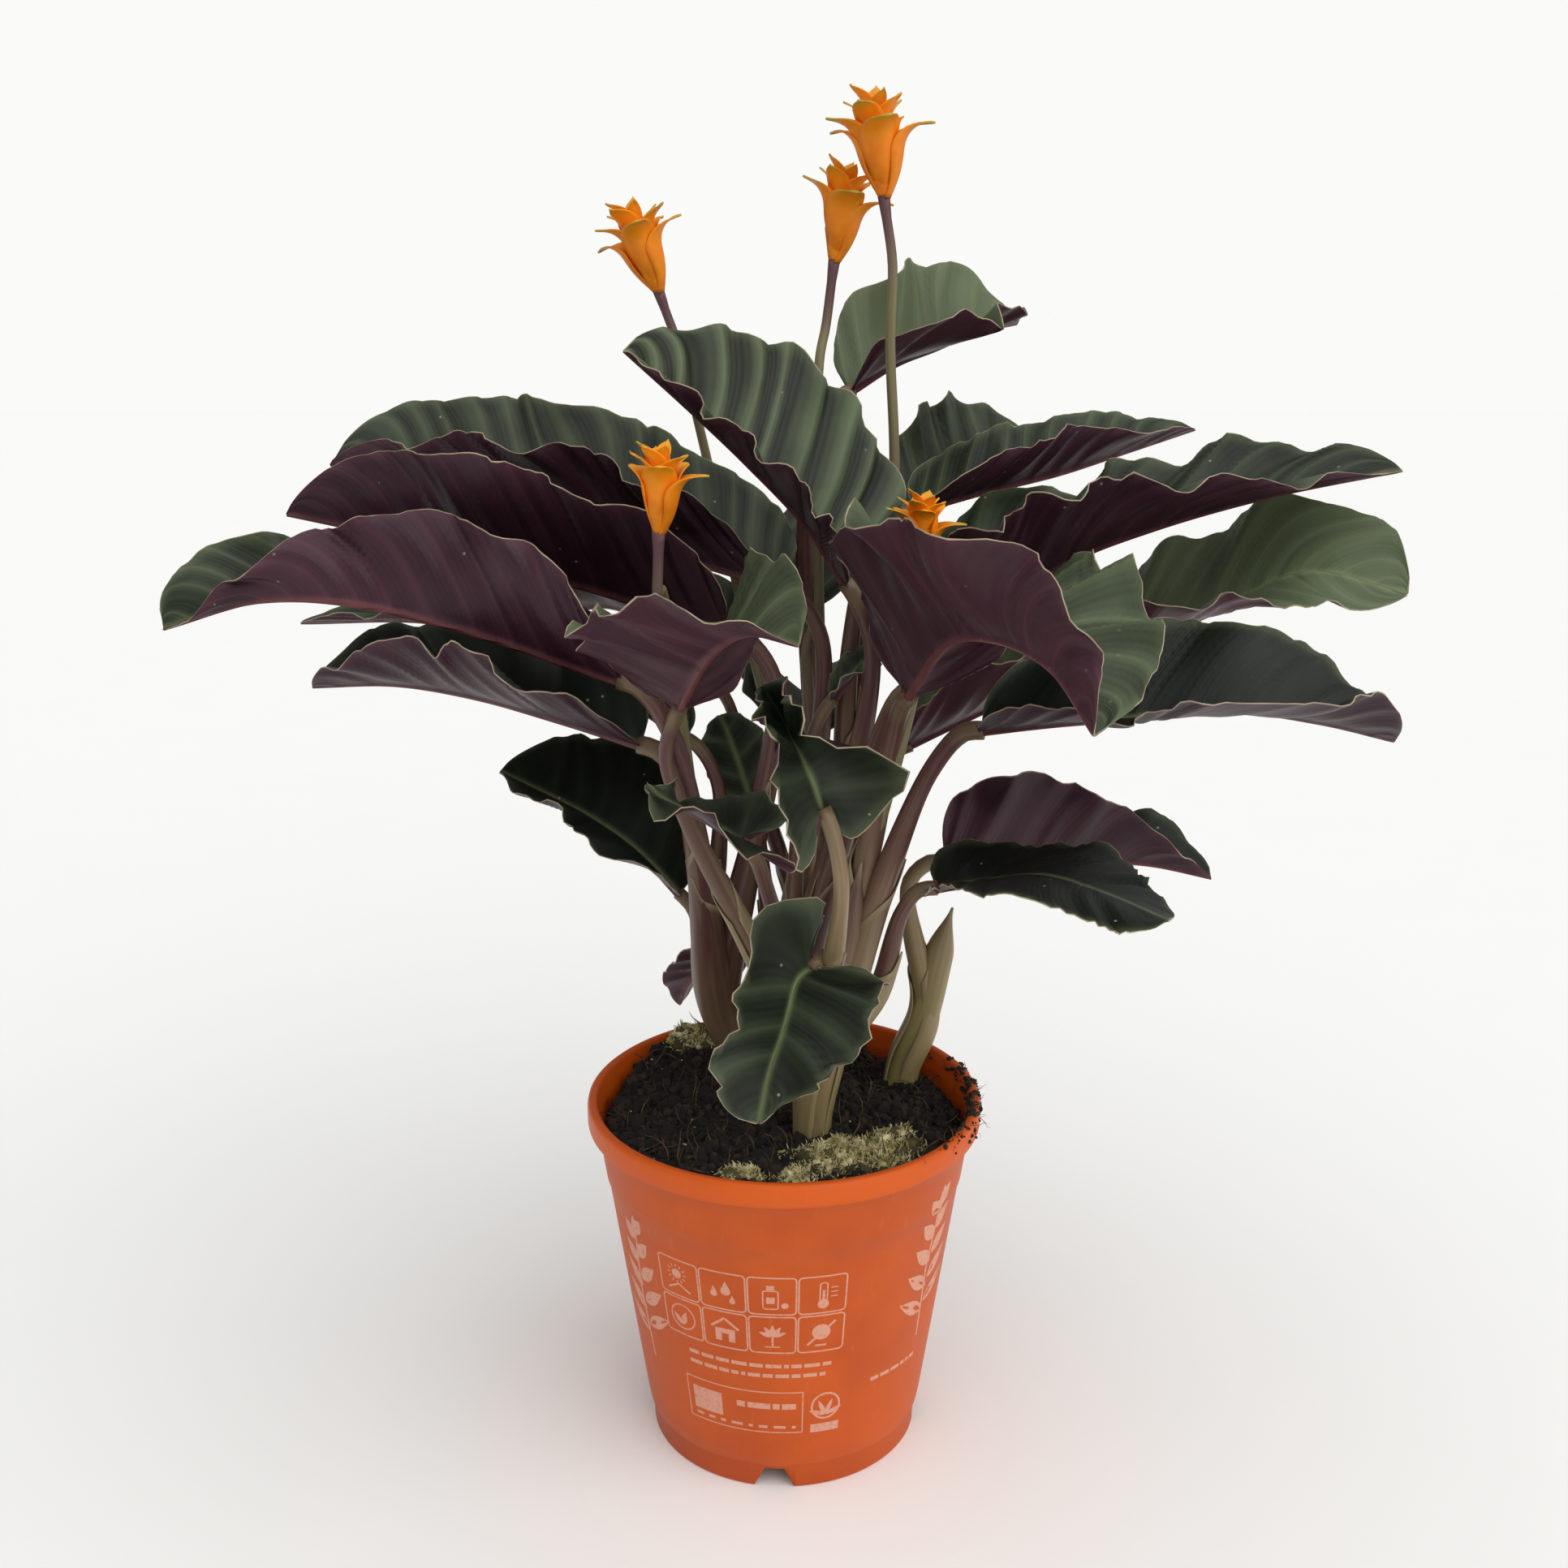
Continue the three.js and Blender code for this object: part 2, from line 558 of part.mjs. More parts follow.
// The way from the stump to a blade or a head: out of the soil beside the others, then up to its end.
function stemCurve(shoot, end, endDirection, via, { stand, reach, rise, seat }) {
  const low = shootAxis(shoot, soil.level - collar.depth + 8);
  const clear = shootAxis(shoot, soil.level + 8);
  const high = shootAxis(shoot, soil.level + collar.bunched);
  const aside = new THREE.Vector3(end.x - high.x, end.y - high.y, 0).normalize().multiplyScalar(stand);
  const tip = end.clone().addScaledVector(endDirection, -gap - seat);
  const before = tip.clone().addScaledVector(endDirection, -5);
  const lead = endDirection.clone().lerp(new THREE.Vector3(0, 0, 1), rise).normalize();
  const under = before.clone().addScaledVector(lead, -reach);
  low.addScaledVector(aside, collar.pinch);
  clear.addScaledVector(aside, collar.pinch);
  const between = (via ?? []).map(vec);
  const stops = [low, clear, high.add(aside), ...between, under, before, tip];
  return line(stops.map((p) => [...p]), "centripetal");
}

function makePetiole(leaf) {
  const rib = line(leaf.rib);
  const curve = stemCurve(shoots[leaf.shoot], rib.getPoint(0), rib.getTangent(0), leaf.via, petiole);
  const { base, sheath, sheathEnd, neck, pulvinus } = petiole;
  const radiusAt = (t) => {
    if (t < sheathEnd) return mix(base, sheath, t / sheathEnd);
    return t < 0.97 ? mix(sheath, neck, smooth(t, sheathEnd, sheathEnd + 0.15)) : pulvinus;
  };
  return taperedTube(curve, radiusAt, petiole.rows, petiole.sides);
}

function makeScape(head) {
  const up = vec(head.to).normalize();
  const curve = stemCurve(shoots[head.shoot], vec(head.at), up, head.via, scape);
  return taperedTube(curve, (t) => mix(scape.base, scape.top, t), scape.rows, scape.sides);
}

function makeStump(shoot, grow, depth, above) {
  const low = shootAxis(shoot, soil.level - depth);
  const at = shootAxis(shoot, soil.level);
  const high = shootAxis(shoot, soilTop(at.x, at.y) + above);
  const radius = collar.radius + grow;
  const axis = new THREE.LineCurve3(low, high);
  return taperedTube(axis, () => radius, 1, collar.sides);
}

function makeShoot(name) {
  const shoot = shoots[name];
  const petioles = leaves.filter((leaf) => leaf.shoot === name).map(makePetiole);
  const scapes = heads.filter((head) => head.shoot === name).map(makeScape);
  return geometryOf(join([makeStump(shoot, 0, collar.depth, collar.above), ...petioles, ...scapes]));
}

// ---- bract heads ----
// Radius of the closed cone that the bracts make lower down, as a share of the height.
function coneRadius(z) {
  return mix(0.07, bract.cone, Math.min(z / bract.coneEnd, 1));
}

// A bract leaves the cone and bends out to a point: the lowest furthest, the innermost least.
function bractSurface(height, k) {
  const inner = k / (bract.count - 1);
  const turn = rad(goldenAngle * k);
  const start = mix(0.2, 0.5, inner);
  const length = height * mix(0.6, 0.52, inner);
  const leaveAngle = rad(mix(18, 4, inner));
  const tipAngle = rad(mix(112, 48, inner));
  const half = height * mix(0.25, 0.2, inner);
  const steps = 16;
  return (u, v) => {
    let radius = height * (coneRadius(start) - 0.03);
    let z = start * height;
    for (let i = 0; i < steps; i++) {
      const angle = mix(leaveAngle, tipAngle, smooth((u * (i + 0.5)) / steps, 0.3, 1));
      radius += (length * u * Math.sin(angle)) / steps;
      z += (length * u * Math.cos(angle)) / steps;
    }
    const width = half * Math.sin(Math.PI * Math.pow(mix(0.2, 0.985, u), 1.1));
    const spread = turn + (v * width) / (radius + height * 0.04);
    return new THREE.Vector3(radius * Math.cos(spread), radius * Math.sin(spread), z);
  };
}

function makeHead(head) {
  const { height } = head;
  const { cone: wide, coneEnd } = bract;
  const profile = [[0, 0], [coneRadius(0), 0], [wide, coneEnd], [wide * 0.7, 0.68], [0, 0.72]];
  const cone = new THREE.LatheGeometry(
    profile.map(([r, z]) => new THREE.Vector2(r * height, z * height)),
    bract.coneSides,
  );
  cone.rotateX(Math.PI / 2);
  const bracts = Array.from({ length: bract.count }, (_, k) =>
    sheet(bractSurface(height, k), bract.rows, [-1, 0, 1], bract.thickness),
  );
  const geometry = geometryOf(join([cone, ...bracts]));
  const up = new THREE.Vector3(0, 0, 1);
  geometry.applyQuaternion(new THREE.Quaternion().setFromUnitVectors(up, vec(head.to).normalize()));
  geometry.translate(...head.at);
  return geometry;
}

// ---- the plant ----
place("pot", makePot(), 0xdf6a32, 0.55);
const holes = Object.values(shoots).map((shoot) => makeStump(shoot, gap, collar.depth + gap, 12));
place("soil", makeSoil(holes), 0x2a211c, 1);
for (const name of Object.keys(shoots)) place("shoot_" + name, makeShoot(name), olive, 0.6);
for (const leaf of leaves) place(leaf.name, makeBlade(leaf), green, 0.5);
for (const head of heads) place(head.name, makeHead(head), flame, 0.55);

export default plant;
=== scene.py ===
# Eternal flame calathea in an orange nursery pot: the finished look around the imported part.
# Sizes in the dictionaries are millimetres unless a note says otherwise; mm turns them into metres.
import math
import random
from functools import partial

import bmesh
import bpy
import numpy as np
from mathutils import Matrix, Vector, noise


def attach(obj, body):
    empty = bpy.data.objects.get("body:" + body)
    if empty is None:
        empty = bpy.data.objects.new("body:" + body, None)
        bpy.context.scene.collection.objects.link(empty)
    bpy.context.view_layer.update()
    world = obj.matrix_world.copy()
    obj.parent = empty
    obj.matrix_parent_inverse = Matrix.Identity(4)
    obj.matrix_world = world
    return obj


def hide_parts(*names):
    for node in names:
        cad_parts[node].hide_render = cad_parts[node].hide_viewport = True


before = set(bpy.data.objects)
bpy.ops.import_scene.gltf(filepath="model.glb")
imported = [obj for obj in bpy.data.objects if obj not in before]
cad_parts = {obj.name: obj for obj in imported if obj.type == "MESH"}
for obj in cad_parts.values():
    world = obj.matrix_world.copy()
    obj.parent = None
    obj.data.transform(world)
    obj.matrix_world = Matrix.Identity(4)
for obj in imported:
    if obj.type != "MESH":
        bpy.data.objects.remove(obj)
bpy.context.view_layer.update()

mm = 0.001
goldenAngle = math.radians(137.5)
lineSteps = 600  # how finely a line is measured before it is cut into equal lengths
scene = bpy.context.scene


def hexColour(code):
    channels = [int(code[i:i + 2], 16) / 255 for i in (1, 3, 5)]
    linear = [c / 12.92 if c <= 0.04045 else ((c + 0.055) / 1.055) ** 2.4 for c in channels]
    return (*linear, 1.0)


# Adds a node and gives back one of its outputs, or all of them when out is None. The kind may have an
# operation or a data type after it. Inputs go in order, or by name or number in a dictionary: a socket is
# linked, a list of sockets is linked one after another, and anything else is set.
def addNode(tree, kind, *inputs, out=0, **settings):
    kind, *choice = kind.split()
    node = tree.nodes.new(kind if "Node" in kind else "ShaderNode" + kind)
    if choice:
        settings["operation" if kind == "Math" else "data_type"] = choice[0]
    for key, value in settings.items():
        setattr(node, key, value)
    named = inputs[0] if inputs and isinstance(inputs[0], dict) else dict(enumerate(inputs))
    for key, value in named.items():
        for one in value if isinstance(value, list) else [value]:
            if isinstance(one, bpy.types.NodeSocket):
                tree.links.new(one, node.inputs[key])
            else:
                node.inputs[key].default_value = one
    return node.outputs if out is None else node.outputs[out]


def mix(a, b, share):
    return a + (b - a) * share


def smooth(x, low, high):
    t = np.clip((x - low) / (high - low), 0, 1)
    return t * t * (3 - 2 * t)


def unit(vectors):
    return vectors / np.maximum(np.linalg.norm(vectors, axis=-1, keepdims=True), 1e-12)


# Angles at equal steps of a full turn.
def turns(count):
    return np.arange(count) * math.tau / count


# Quads of a grid of points, row by row; wrap closes each row into a ring.
def gridFaces(rows, columns, wrap=False):
    i, j = np.meshgrid(np.arange(rows - 1), np.arange(columns - (not wrap)), indexing="ij")
    a = i * columns + j
    b = i * columns + (j + 1) % columns
    return np.stack([a, b, b + columns, a + columns], -1).reshape(-1, 4)


# Two grids of one size, the upper and the lower face of a sheet, and the edge that joins them.
def sheetFaces(rows, columns):
    count = rows * columns
    upper = gridFaces(rows, columns)
    lower = upper[:, (0, 3, 2, 1)] + count
    rim = np.concatenate([
        np.arange(columns - 1),
        np.arange(rows - 1) * columns + columns - 1,
        (rows - 1) * columns + np.arange(columns - 1, 0, -1),
        np.arange(rows - 1, 0, -1) * columns,
    ])
    after = np.roll(rim, -1)
    edge = np.stack([rim, rim + count, after + count, after], -1)
    return upper, lower, edge


# Rings of points round the upright axis, one for each radius and height of a profile.
def lathe(profile, angles):
    return np.array([[(r * math.cos(a), r * math.sin(a), z) for a in angles] for r, z in profile])


# Rings of points with a flat cap at each end.
def tubeFaces(rows, sides):
    caps = [list(range(sides))[::-1], [(rows - 1) * sides + k for k in range(sides)]]
    return gridFaces(rows, sides, wrap=True).tolist() + caps


# Rings of points closed by two middle points, the bottom's and the top's, that come after them.
def lathedFaces(rows, sides):
    last, bottom = (rows - 1) * sides, rows * sides
    faces = gridFaces(rows, sides, wrap=True).tolist()
    faces += [[(k + 1) % sides, k, bottom] for k in range(sides)]
    return faces + [[last + k, last + (k + 1) % sides, bottom + 1] for k in range(sides)]


# A mesh that grows part by part, with point attributes and a material slot for each face.
class Builder:
    def __init__(self):
        self.points, self.faces, self.slots, self.marks, self.count = [], [], [], {}, 0

    def add(self, points, faces, slots, **marks):
        points = np.asarray(points, float).reshape(-1, 3)
        self.points.append(points)
        self.faces += [[int(k) + self.count for k in face] for face in faces]
        self.slots += list(slots) if hasattr(slots, "__len__") else [slots] * len(faces)
        for key, values in marks.items():
            flat = np.broadcast_to(np.asarray(values, np.float32), (len(points),) + np.shape(values)[1:])
            self.marks.setdefault(key, []).append(flat)
        self.count += len(points)

    # A sheet from the grids of its two faces; each mark is a grid too, and holds on both.
    def addSheet(self, upper, lower, slots, **marks):
        size, both = upper.shape[:2], {}
        for key, values in marks.items():
            grid = np.broadcast_to(values, size + np.shape(values)[2:])
            both[key] = np.stack([grid, grid]).reshape(-1, *grid.shape[2:])
        self.add(np.stack([upper, lower]), np.concatenate(sheetFaces(*size)), slots, **both)

    def piece(self, name, materials, shade=True):
        mesh = bpy.data.meshes.new(name)
        mesh.from_pydata(np.concatenate(self.points) * mm, [], self.faces)
        for material in materials:
            mesh.materials.append(material)
        mesh.polygons.foreach_set("material_index", self.slots)
        mesh.polygons.foreach_set("use_smooth", [shade] * len(mesh.polygons))
        for key, parts in self.marks.items():
            values = np.concatenate(parts).astype(np.float32)
            kind, field = ("FLOAT", "value") if values.ndim == 1 else ("FLOAT_VECTOR", "vector")
            mesh.attributes.new(key, kind, "POINT").data.foreach_set(field, values.ravel())
        mesh.update()
        return showMesh(name, mesh)


# One mesh of one material, made in one go.
def makePiece(name, material, points, faces, shade=True, **marks):
    builder = Builder()
    builder.add(points, faces, 0, **marks)
    return builder.piece(name, [material], shade)


def showMesh(name, mesh):
    piece = bpy.data.objects.new(name, mesh)
    scene.collection.objects.link(piece)
    return piece


# The mesh of a piece with its modifiers worked out.
def workedOut(piece):
    bpy.context.view_layer.update()
    return bpy.data.meshes.new_from_object(piece.evaluated_get(bpy.context.evaluated_depsgraph_get()))


def discard(*pieces):
    for piece in pieces:
        mesh = piece.data
        bpy.data.objects.remove(piece)
        if mesh and not mesh.users:
            bpy.data.meshes.remove(mesh)


# The four points round a place on a line, and how far it is from the second to the third.
def lineWindow(points, t):
    p = np.asarray(points, float)
    p = np.vstack([2 * p[0] - p[1], p, 2 * p[-1] - p[-2]])
    t = np.clip(np.asarray(t, float), 0, 1) * (len(p) - 3)
    i = np.minimum(t.astype(int), len(p) - 4)
    return p[i], p[i + 1], p[i + 2], p[i + 3], (t - i)[..., None]


# A smooth line through given points, read by share of the points passed.
def linePoint(points, t):
    a, b, c, d, w = lineWindow(points, t)
    return b + 0.5 * w * (c - a + w * (2 * a - 5 * b + 4 * c - d + w * (3 * (b - c) + d - a)))


def lineDirection(points, t):
    step = 1e-4
    t = np.asarray(t, float)
    return unit(linePoint(points, np.minimum(t + step, 1)) - linePoint(points, np.maximum(t - step, 0)))


# The same, but taut where the points are unevenly spaced, so that it never overshoots them.
def tautPoint(points, t):
    a, b, c, d, w = lineWindow(points, t)
    last, here, coming = (
        np.linalg.norm(q - r, axis=-1, keepdims=True) ** 0.5 for q, r in ((b, a), (c, b), (d, c)))
    leave = here * ((b - a) / last - (c - a) / (last + here) + (c - b) / here)
    arrive = here * ((c - b) / here - (d - b) / (here + coming) + (d - c) / coming)
    return b + w * (leave + w * (3 * (c - b) - 2 * leave - arrive + w * (2 * (b - c) + leave + arrive)))


# A taut line at equal steps of length, and its length.
def evenLine(points, count):
    dense = tautPoint(points, np.linspace(0, 1, lineSteps))
    run = np.concatenate([[0], np.cumsum(np.linalg.norm(np.diff(dense, axis=0), axis=1))])
    steps = np.linspace(0, run[-1], count)
    return np.stack([np.interp(steps, run, dense[:, k]) for k in range(3)], -1), run[-1]


# Two directions across a line that turn with it and never twist about it.
def lineFrames(points, first):
    along = unit(np.gradient(points, axis=0))
    side = unit(first - along[0] * np.dot(first, along[0]))
    sides = [side]
    for direction in along[1:]:
        side = unit(side - direction * np.dot(side, direction))
        sides.append(side)
    sides = np.array(sides)
    return sides, np.cross(along, sides)


# Points round a line; radius is rows by columns, angle one value a column.
def ringPoints(points, sides, others, radius, angle):
    return (
        points[:, None]
        + sides[:, None] * (radius * np.cos(angle))[..., None]
        + others[:, None] * (radius * np.sin(angle))[..., None]
    )


# Starts a material; add puts a node into it.
def newMaterial(name):
    material = bpy.data.materials.new(name)
    material.use_nodes = True
    material.node_tree.nodes.clear()
    return material, partial(addNode, material.node_tree)


# Ends a material: a first colour and the coats laid over it by their shares, the reliefs (height, depth in
# millimetres, strength), and whatever else the shader is given.
def finishMaterial(material, add, first, coats, reliefs, others):
    colour, normal = hexColour(first), {}
    for share, code in coats:
        colour = add("Mix RGBA", {0: share, 6: colour, 7: hexColour(code)}, out=2)
    for height, depth, strength in reliefs:
        relief = {"Height": height, "Distance": depth * mm, "Strength": strength, **normal}
        normal = {"Normal": add("Bump", relief)}
    shader = add("BsdfPrincipled", {"Base Color": colour, **normal, **others})
    add("OutputMaterial", shader, out=None)
    return material


# Noise whose features are about size millimetres across, on Object coordinates or on a mark.
def grain(add, size, detail=3, where=None, stretch=(1, 1, 1)):
    place = add("Mapping", {"Vector": where or add("TexCoord", out="Object"), "Scale": stretch})
    return add("TexNoise", {"Vector": place, "Scale": 1 / (size * mm), "Detail": detail}, out="Fac")


leafFinish = {
    "top": {"base": "#49553E", "deep": "#171D16", "light": "#74815F", "rib": "#8A9768",
            "darkeningByAgeAndShade": 0.98, "shine": 0.26, "pleatShading": 0.68},
    "under": {"base": "#472733", "deep": "#2C1822", "light": "#643D49", "rib": "#7E4846",
              "darkeningByAgeAndShade": 0.6, "shine": 0.26, "pleatShading": 0.35},
    "edge": "#A89A7E", "edgeRed": "#80625A", "drop": "#C9C9BC",
    "mottle": 26, "cells": 0.6, "dropEvery": 8,
    "fineVeins": 6,  # fine veins between two lateral ones
    "veinSharp": 24, "valleySharp": 1.6, "crestSharp": 3,  # powers: the higher, the narrower
}


# Leaf skins: a waxy cuticle over quilted cells, so the light slides off in soft streaks along the veins.
# The pleat setting says how strongly painted shade and a painted highlight mark the pleats, and the darkening
# setting how far a leaf darkens with age and with the painted shade of its place in the plant.
def leafSkin(name, base, deep, light, rib, darkeningByAgeAndShade, shine, pleatShading):
    material, add = newMaterial(name)
    phase, ribNear, edgeNear, pleat, age = [
        add("Attribute", attribute_name=mark, out="Fac")
        for mark in ("veinPhase", "ribNear", "edgeNear", "pleat", "age")]
    # painted shade darkens the valleys of the pleats between the lateral veins, over the leaf's own slightly
    # darker green there, and a painted highlight pales their crests
    crest, fine = [
        add("Math MULTIPLY_ADD", add("Math SINE", add("Math MULTIPLY", phase, math.tau * often)), 0.5, 0.5)
        for often in (1, leafFinish["fineVeins"])]
    vein = add("Math POWER", crest, leafFinish["veinSharp"])
    valley = add("Math POWER", add("Math SUBTRACT", 1.0, crest), leafFinish["valleySharp"])
    crestHighlight = add("Math POWER", crest, leafFinish["crestSharp"])
    depth = add("Math MULTIPLY", pleat, pleatShading)
    # dried drops of hard water on the older leaves
    place, often = add("TexCoord", out="Object"), 1 / (leafFinish["dropEvery"] * mm)
    drops = add("TexVoronoi", {"Vector": place, "Scale": often}, out=None)
    dried = add("Math MULTIPLY", add("MapRange", drops["Distance"], 0.075, 0.045, 0.0, 0.55),
                add("Math GREATER_THAN", drops["Color"], 0.56))
    cells = grain(add, leafFinish["cells"], 2)
    coats = (
        (add("MapRange", grain(add, leafFinish["mottle"], 4), 0.3, 0.7), base),
        # painted shade in the pleat valleys, then a painted highlight on their crests
        (add("Math MULTIPLY", valley, depth, use_clamp=True), deep),
        (add("Math MULTIPLY", crestHighlight, add("Math MULTIPLY", depth, 0.3)), light),
        (add("Math MULTIPLY", vein, 0.25), light),
        (add("Math MULTIPLY", fine, 0.08), light),
        (add("MapRange", age, 0.3, 1.0, 0.0, darkeningByAgeAndShade), deep),  # painted shade: old leaves, and those deep in the plant's shade, are darker all over
        (add("MapRange", age, 0.3, 0.0, 0.0, 0.5), light),  # and painted light makes young, well lit ones paler
        (add("Math MULTIPLY", ribNear, 0.75), rib),
        (add("Math MULTIPLY", edgeNear, 0.3), light),
        (add("Math MULTIPLY", dried, age), leafFinish["drop"]),
    )
    reliefs = ((add("Math MULTIPLY", valley, pleat), 0.5, 0.8), (fine, 0.06, 0.5), (cells, 0.05, 0.5))
    return finishMaterial(material, add, deep, coats, reliefs, {
        "Roughness": add("MapRange", cells, 0.2, 0.8, 0.38, 0.5), "IOR": 1.45,
        "Specular IOR Level": shine, "Coat Weight": 0.03, "Coat Roughness": 0.3,
    })


# The horny margin of a leaf: a pale dry line round it, tinged with red.
def leafEdgeSkin():
    material, add = newMaterial("calathea leaf margin, pale horny")
    reddened = add("MapRange", grain(add, 9), 0.45, 0.7)
    coats = ((reddened, leafFinish["edgeRed"]),)
    return finishMaterial(material, add, leafFinish["edge"], coats, (), {"Roughness": 0.5})


leafTop = leafSkin("calathea leaf upper skin, waxy green", **leafFinish["top"])
leafUnder = leafSkin("calathea leaf lower skin, wine red", **leafFinish["under"])
leafEdge = leafEdgeSkin()

# low and high are the colours at the foot and at the top, and end is the colour of cushions and edges.
stemFinish = {
    "petiole": {"low": "#917D5B", "high": "#5E3C39", "end": "#7F7450", "roughness": 0.36},
    "sheath": {"low": "#93815F", "high": "#5C3D3B", "end": "#B0A680", "roughness": 0.42},
    "scape": {"low": "#7C7352", "high": "#7C7352", "end": "#5D3345", "roughness": 0.5},
    "streak": 1.8, "streakPale": "#ADA270", "streakDark": "#543533", "olive": "#8F864F",
}


# Stalks: smooth juicy skin with fibres that run their whole length, so they are striped lengthwise.
def stalkSkin(name, low, high, end, roughness):
    material, add = newMaterial(name)
    rise, tone, cushion = [
        add("Attribute", attribute_name=mark, out="Fac") for mark in ("rise", "tone", "cushion")]
    lengthwise = add("Attribute", attribute_name="lengthwise", out="Vector")
    streak = grain(add, stemFinish["streak"], 3, lengthwise)
    level = add("Math ADD", rise, add("Math SUBTRACT", tone, 0.5))
    coats = (
        (add("MapRange", level, 0.1, 0.8), high),
        (add("MapRange", level, 0.05, -0.35, 0.0, 0.85), stemFinish["olive"]),
        (add("MapRange", streak, 0.45, 0.8, 0.0, 0.24), stemFinish["streakPale"]),
        (add("MapRange", streak, 0.5, 0.22, 0.0, 0.26), stemFinish["streakDark"]),
        (cushion, end),
    )
    reliefs = ((streak, 0.06, 0.5),)
    return finishMaterial(material, add, low, coats, reliefs, {"Roughness": roughness, "IOR": 1.42})


stalkMaterial = stalkSkin("petiole skin, mauve over olive", **stemFinish["petiole"])
sheathMaterial = stalkSkin("leaf sheath, thin and fibrous", **stemFinish["sheath"])
scapeMaterial = stalkSkin("flower stalk skin, downy", **stemFinish["scape"])
print("materials of the plant: done")

blade = {
    "baseHalf": 1.4, "tipHalf": 0.5, "round": 0.45, "scallop": 0.06, "veinSlant": 0.16,
    "thickness": 0.55, "edgeThickness": 0.35,
    "rowEvery": 1.5,  # distance between rows of points
    "fewestRows": 24,
    "foldEvery": 11.5,  # distance between the pleats that follow the lateral veins
    "fold": 1.0,  # and how far they stand out
    "ruffle": 0.12,  # fine waves of the margin, as a share of the leaf's own
    "ribHeight": 1.7, "ribWidth": 1.2, "groove": 0.45,
    "margin": 0.27,  # width of the pale margin
    "edgeGlow": 2.2,  # width of the paler skin beside the margin
    "narrow": 20,  # where a blade is narrower than this, its pleats are shallower
}
# Where the points stand across a half blade, as shares of its width.
acrossShares = (
    0, 0.014, 0.034, 0.06, 0.095, 0.14, 0.2, 0.27, 0.34, 0.42, 0.5, 0.58, 0.65, 0.72, 0.79, 0.85, 0.9, 0.95)
